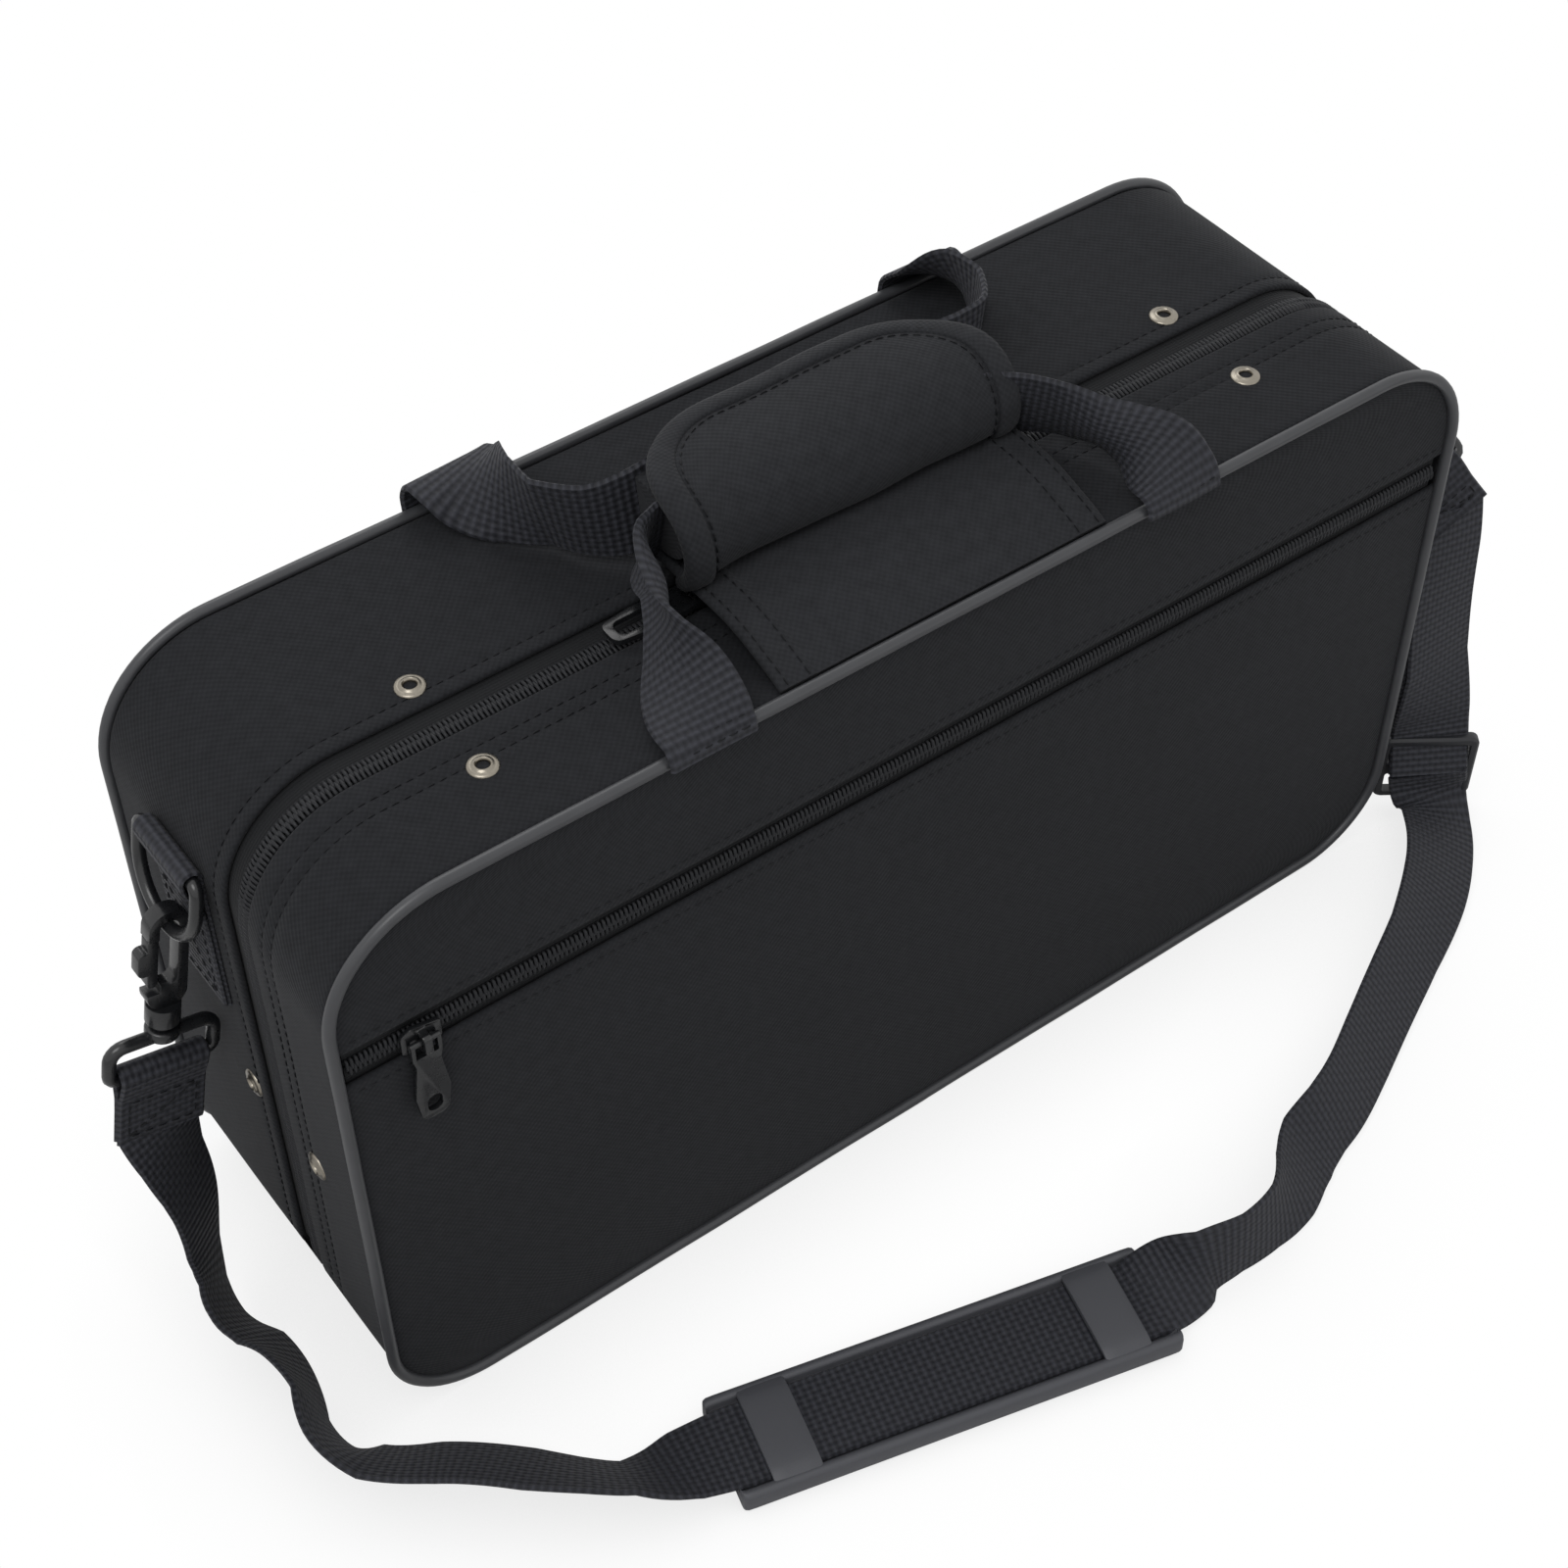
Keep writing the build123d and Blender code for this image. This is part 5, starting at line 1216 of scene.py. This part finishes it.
    def underside(self):
        """The lower part of the wrap, closed round the two webbings."""
        rows = []
        for x in np.linspace(-50, 50, 26):
            swell = 1 - 0.06 * (abs(x) / 50) ** 4
            loop = []
            for a in np.linspace(0, tau, 36, endpoint=False):
                c, s = cos(a), sin(a)
                loop.append((x, 1.5 + 15.2 * swell * np.sign(c) * abs(c) ** 0.8,
                             214.6 + 9.0 * swell * np.sign(s) * abs(s) ** 0.75 + 0.2 * wander(x, a * 20, 2)))
            rows.append(loop)
        obj = Fabric().sheet(np.array(rows), ring=True, caps=True)
        obj = obj.make("grip_core_cloth", "case_cloth", finish_of("handle_cloth"), 65)
        fitted(obj, "front_handle", "grip_foam")


class CASE_OT_zip_flap(bpy.types.Operator):
    """Cloth flap under the handles that covers the place where the zip's sliders meet"""

    bl_idname = "case.zip_flap"
    bl_label = "Zip flap"

    ROUTE = [(-53.1, 197.6), (-50.6, 198.9), (-44.0, 200.8), (-36.0, 203.2), (-28.0, 204.2), (-16.0, 203.9),
             (-4.0, 203.6), (6.0, 203.2)]

    def execute(self, context):
        route, _ = evenly(np.array([(0.0, y, z) for y, z in self.ROUTE]), 1.6)
        for _ in range(5):
            route[1:-1] = (route[:-2] + 2 * route[1:-1] + route[2:]) / 4
        out = unit(np.cross([1.0, 0, 0], unit(np.gradient(route, axis=0))))
        x = np.concatenate([[-51.0, -50.8, -50.2], np.linspace(-49, -41.6, 5), [-40.9, -40.4, -39.8],
                            np.linspace(-38, 38, 24), [39.8, 40.4, 40.9], np.linspace(41.6, 49, 5),
                            [50.2, 50.8, 51.0]])
        hem = np.clip((np.abs(x) - 40.0) / 0.8, 0, 1) * 0.55
        rounded = np.clip((51.0 - np.abs(x)) / 0.8, 0, 1) ** 0.5
        rows = []
        for i, at in enumerate(x):
            ripple = 0.25 * wander(at * 1.5, route[:, 1], 1.7)[:, None]
            top = route + [at, 0, 0] + out * ((0.15 + (0.5 + hem[i]) * rounded[i]) + ripple)
            low = route + [at, 0, 0] + out * ((-0.15 - 0.45 * rounded[i]) + ripple)
            rows.append(np.concatenate([top, low[::-1]]))
        flap = Fabric().sheet(np.array(rows)[::-1], ring=True, caps=True)
        flap = fitted(flap.make("zip_flap_cloth", "case_cloth", finish_of("handle_cloth"), 65), "flap", "zip_flap")
        fabric = Fabric()
        for at in (-48.6, -42.2, 42.2, 48.6):
            stitches(fabric, route + [at, 0, 0] + out * 1.25, out)
        edge = np.linspace(-50, 50, 70)
        row = len(route) - 3
        line = np.array([route[row] + [at, 0, 0] + out[row] * (1.2 if abs(at) > 40 else 0.75) for at in edge])
        stitches(fabric, line, np.tile(out[row], (len(line), 1)))
        hems = fabric.make("zip_flap_stitches", "thread")
        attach(hems, "flap")
        return {"FINISHED"}


# ---- fittings -------------------------------------------------------------------------------------
def ring_matrix(side):
    """Where a D-ring's bar lies in its tab."""
    sign = SIDES[side]
    return (Matrix.Translation((sign * RING_BAR, RING_Y, RING_Z))
            @ Matrix.Rotation(radians(-sign * RING_TILT[side]), 4, "Y"))


def hook_matrix(side):
    """Where a snap hook's mouth rests on the ring's bow."""
    turn = Matrix.Rotation(pi, 4, "Z") if side == "right" else Matrix.Identity(4)
    return (ring_matrix(side) @ Matrix.Translation((0, 0, -8.0))
            @ Matrix.Rotation(radians(HOOK_SWING[side]), 4, "X") @ Matrix.Translation((0, 0, -14.8)) @ turn)


def eased_copy(node, width, slot, transform=None):
    """A fitting's own shape with its edges rounded, in metres where the CAD has it."""
    source = frame["nodes"][node]
    solid = bmesh.new()
    solid.from_mesh(source.data)
    bmesh.ops.remove_doubles(solid, verts=solid.verts, dist=0.00001)
    bmesh.ops.dissolve_limit(solid, angle_limit=radians(2.5), verts=solid.verts, edges=solid.edges)
    sharp = [e for e in solid.edges if len(e.link_faces) == 2 and e.calc_face_angle(0.0) > radians(28)]
    bmesh.ops.bevel(solid, geom=sharp, offset=width * MM, offset_type="OFFSET", segments=2, profile=0.6,
                    affect="EDGES", clamp_overlap=True)
    if transform is not None:
        bmesh.ops.transform(solid, matrix=transform, verts=solid.verts)
    bmesh.ops.recalc_face_normals(solid, faces=solid.faces)
    mesh = bpy.data.meshes.new(node + "_shape")
    solid.to_mesh(mesh)
    solid.free()
    obj = bpy.data.objects.new(node + "_shape", mesh)
    bpy.context.scene.collection.objects.link(obj)
    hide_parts(node)
    return dressed(obj, slot, sharp=35.0)


class CASE_OT_ring_tabs(bpy.types.Operator):
    """Webbing tabs on the case's ends, folded round the D-rings and sewn down"""

    bl_idname = "case.ring_tabs"
    bl_label = "Ring tabs"

    def execute(self, context):
        for side, sign in SIDES.items():
            path = [(0.6, 119.0), (0.6, 140.0), (0.5, 160.0), (0.5, RING_Z - 2)]
            path += [(3.1 + 2.6 * cos(radians(a)), RING_Z + 2.6 * sin(radians(a))) for a in range(180, -11, -15)]
            path += [(5.6, 164.6), (4.6, 161.4), (3.0, 157.6), (2.0, 154.0), (1.78, 150.0), (1.78, 136.0),
                     (1.78, 119.4)]
            line = np.array([(sign * (SIDE + d), RING_Y, z) for d, z in path])
            line, _ = evenly(line, 1.0)
            fabric = Fabric()
            widths = [(line[0], (0, 1, 0)), (line[-1], (0, 1, 0))]
            ribbon(fabric, line, widths, 1.1)
            fitted(fabric.make(f"ring_tab_{side}_webbing", "webbing"), "base", f"{side}_ring_tab")
            fabric = Fabric()
            out = np.array([float(sign), 0, 0])
            ring = [(-9.5, 122.5), (9.5, 122.5), (9.5, 151.0), (-9.5, 151.0), (-9.5, 122.5)]
            for (ya, za), (yb, zb) in list(zip(ring, ring[1:])) + [(ring[0], ring[2]), (ring[1], ring[3])]:
                row = [(sign * (SIDE + 2.36), RING_Y + y, z) for y, z in ((ya, za), (yb, zb))]
                row, _ = evenly(row, 1.0)
                stitches(fabric, row, np.tile(out, (len(row), 1)))
            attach(fabric.make(f"ring_tab_{side}_stitches", "thread"), "base")
        return {"FINISHED"}


class CASE_OT_fittings(bpy.types.Operator):
    """Fittings: D-rings, snap hooks with swivel eyes and gates, zip sliders and pullers"""

    bl_idname = "case.fittings"
    bl_label = "Fittings"

    def execute(self, context):
        for side in SIDES:
            self.d_ring(side)
            self.eye(side)
            for node, width in ((f"{side}_hook", 0.55), (f"{side}_hook_gate", 0.35)):
                self.place(eased_copy(node, width, "black_metal"), node)
        for node in ("main_slider_left", "main_slider_right", "pocket_slider"):
            self.place(eased_copy(node, 0.4, "black_metal"), node)
        for node, wider in (("main_puller_left", (1, 1.2, 1)), ("main_puller_right", (1, 1.2, 1)),
                            ("pocket_puller", (1.2, 1, 1))):
            low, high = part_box(node)
            middle = Matrix.Translation((low + high) / 2)
            spread = middle @ Matrix.Diagonal((*wider, 1)) @ middle.inverted()
            self.place(eased_copy(node, 0.45, "black_metal", spread), node)
        for node in ("base_board", "lid_board"):
            board = frame["nodes"][node]
            board.data.materials.clear()
            board.data.materials.append(finish_of("board"))
        return {"FINISHED"}

    def place(self, obj, node):
        """Fixes a fitting to the body its CAD node moves with."""
        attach(obj, frame["nodes"][node]["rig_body"])

    def stand_in(self, obj, node):
        """Puts a piece in place of a CAD node, on the body that one moves with."""
        fitted(obj, frame["nodes"][node]["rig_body"], node)

    def wire(self, path, place, radius):
        """A closed loop of round wire; the path is in the place's own axes."""
        line = np.array([list(place @ Vector(p)) for p in path])
        fabric = Fabric()
        tube(fabric, line, radius, sides=14, closed=True)
        return fabric

    def d_ring(self, side):
        """A bent wire ring: a straight bar, two tight corners and a round bow."""
        half, bow, corner, low = 14.8, 14.8, 2.4, -8.0
        turn = lambda a: (cos(radians(a)), sin(radians(a)))
        path = [(0, y, 0) for y in np.linspace(-half + corner, half - corner, 12)]
        path += [(0, half - corner + corner * turn(a)[0], -corner + corner * turn(a)[1])
                 for a in range(75, -1, -15)]
        path += [(0, half, z) for z in np.linspace(-corner - 1.4, low, 4)]
        path += [(0, bow * turn(a)[0], low + bow * turn(a)[1]) for a in range(-7, -180, -7)]
        path += [(0, -half, z) for z in np.linspace(low, -corner, 4)]
        path += [(0, -half + corner - corner * turn(a)[0], -corner + corner * turn(a)[1])
                 for a in range(15, 90, 15)]
        fabric = self.wire(path, ring_matrix(side), 1.8)
        self.stand_in(fabric.make(f"{side}_d_ring_wire", "black_metal"), f"{side}_d_ring")

    def eye(self, side):
        """A bent wire eye with the turned collar of its swivel."""
        place = hook_matrix(side)
        half, low, high, small, large = 14.6, EYE_BAR, -39.0, 2.2, 4.0
        path = []
        for x, z, r, start in ((half - small, low + small, small, -90), (half - large, high - large, large, 0),
                               (large - half, high - large, large, 90), (small - half, low + small, small, 180)):
            path += [(x + r * cos(radians(start + a)), 0, z + r * sin(radians(start + a)))
                     for a in range(0, 91, 15)]
        path, _ = evenly(np.array(path + [path[0]]), 1.2)
        fabric = self.wire(path[:-1].tolist(), place, 1.9)
        lathe(fabric, place, [(0.01, -35.4), (3.8, -35.4), (4.5, -35.9), (4.6, -36.4), (4.6, -38.2), (4.2, -38.9),
                              (3.0, -39.6), (2.2, -40.6), (0.01, -40.8)], 24)
        self.stand_in(fabric.make(f"{side}_swivel_eye_wire", "black_metal"), f"{side}_swivel_eye")


class CASE_OT_rivets(bpy.types.Operator):
    """Eyelet rivets that hold the cloth to the boards beside the zip"""

    bl_idname = "case.rivets"
    bl_label = "Rivets"

    def execute(self, context):
        collar = [(4.1, -0.3), (4.05, 0.15), (3.75, 0.45), (3.1, 0.55), (2.75, 0.62), (2.45, 0.95), (2.05, 1.05),
                  (1.75, 0.8), (1.6, 0.1), (1.55, -1.9), (1.25, -2.0), (1.0, -1.3), (0.6, -0.9), (0.01, -0.8)]
        for body, y in (("base", 2.3), ("lid", -30.3)):
            fabric = Fabric()
            for sign in (-1, 1):
                lathe(fabric, Matrix.Translation((sign * RIVET_X, y, TOP)), collar, 32)
                side = Matrix.Translation((sign * SIDE, y, RIVET_Z)) @ Matrix.Rotation(sign * pi / 2, 4, "Y")
                lathe(fabric, side, collar, 32)
            fitted(fabric.make(f"{body}_rivet_collars", "rivet_metal", sharp=50), body, f"{body}_rivets")
        return {"FINISHED"}


class CASE_OT_interior(bpy.types.Operator):
    """Padded inside: the plush insert with its wells and the plush pad in the lid"""

    bl_idname = "case.interior"
    bl_label = "Interior"

    def execute(self, context):
        for node, body, fill in (("base_insert", "base", 0.9), ("lid_pad", "lid", 0.7)):
            source = frame["nodes"][node]
            mesh = source.data.copy()
            mesh.materials.clear()
            obj = bpy.data.objects.new(node + "_plush", mesh)
            bpy.context.scene.collection.objects.link(obj)
            remesh = obj.modifiers.new("pile", "REMESH")
            remesh.mode, remesh.voxel_size = "VOXEL", 0.0028
            ease = obj.modifiers.new("ease", "SMOOTH")
            ease.factor, ease.iterations = 0.5, 7
            shape = bpy.data.meshes.new_from_object(obj.evaluated_get(bpy.context.evaluated_depsgraph_get()))
            obj.modifiers.clear()
            obj.data = shape
            bpy.data.meshes.remove(mesh)
            dressed(obj, "plush", sharp=180)
            fitted(obj, body, node)
        return {"FINISHED"}


# ---- add-on ---------------------------------------------------------------------------------------
PIECES = (CASE_OT_stage, CASE_OT_shoulder_strap, CASE_OT_shoulder_pad, CASE_OT_cover, CASE_OT_piping,
          CASE_OT_zips, CASE_OT_hinge, CASE_OT_handles, CASE_OT_zip_flap, CASE_OT_ring_tabs, CASE_OT_fittings,
          CASE_OT_rivets, CASE_OT_interior)


class CASE_PT_pieces(bpy.types.Panel):
    """The case's sizes, colours and pieces"""

    bl_idname = "CASE_PT_pieces"
    bl_label = "Clarinet Case"
    bl_space_type = "VIEW_3D"
    bl_region_type = "UI"
    bl_category = "Clarinet Case"

    def draw(self, context):
        for group in (context.scene.case_sizes, context.scene.case_colours):
            box = self.layout.box()
            for name in group.__annotations__:
                box.prop(group, name)
        for piece in PIECES:
            self.layout.operator(piece.bl_idname)


CLASSES = (CaseSizes, CaseColours, *PIECES, CASE_PT_pieces)


def register():
    for entry in CLASSES:
        bpy.utils.register_class(entry)
    bpy.types.Scene.case_sizes = bpy.props.PointerProperty(type=CaseSizes)
    bpy.types.Scene.case_colours = bpy.props.PointerProperty(type=CaseColours)


def unregister():
    del bpy.types.Scene.case_colours
    del bpy.types.Scene.case_sizes
    for entry in reversed(CLASSES):
        bpy.utils.unregister_class(entry)


def main():
    register()
    for piece in PIECES:
        group, name = piece.bl_idname.split(".")
        getattr(getattr(bpy.ops, group), name)()


if __name__ == "__main__":
    main()
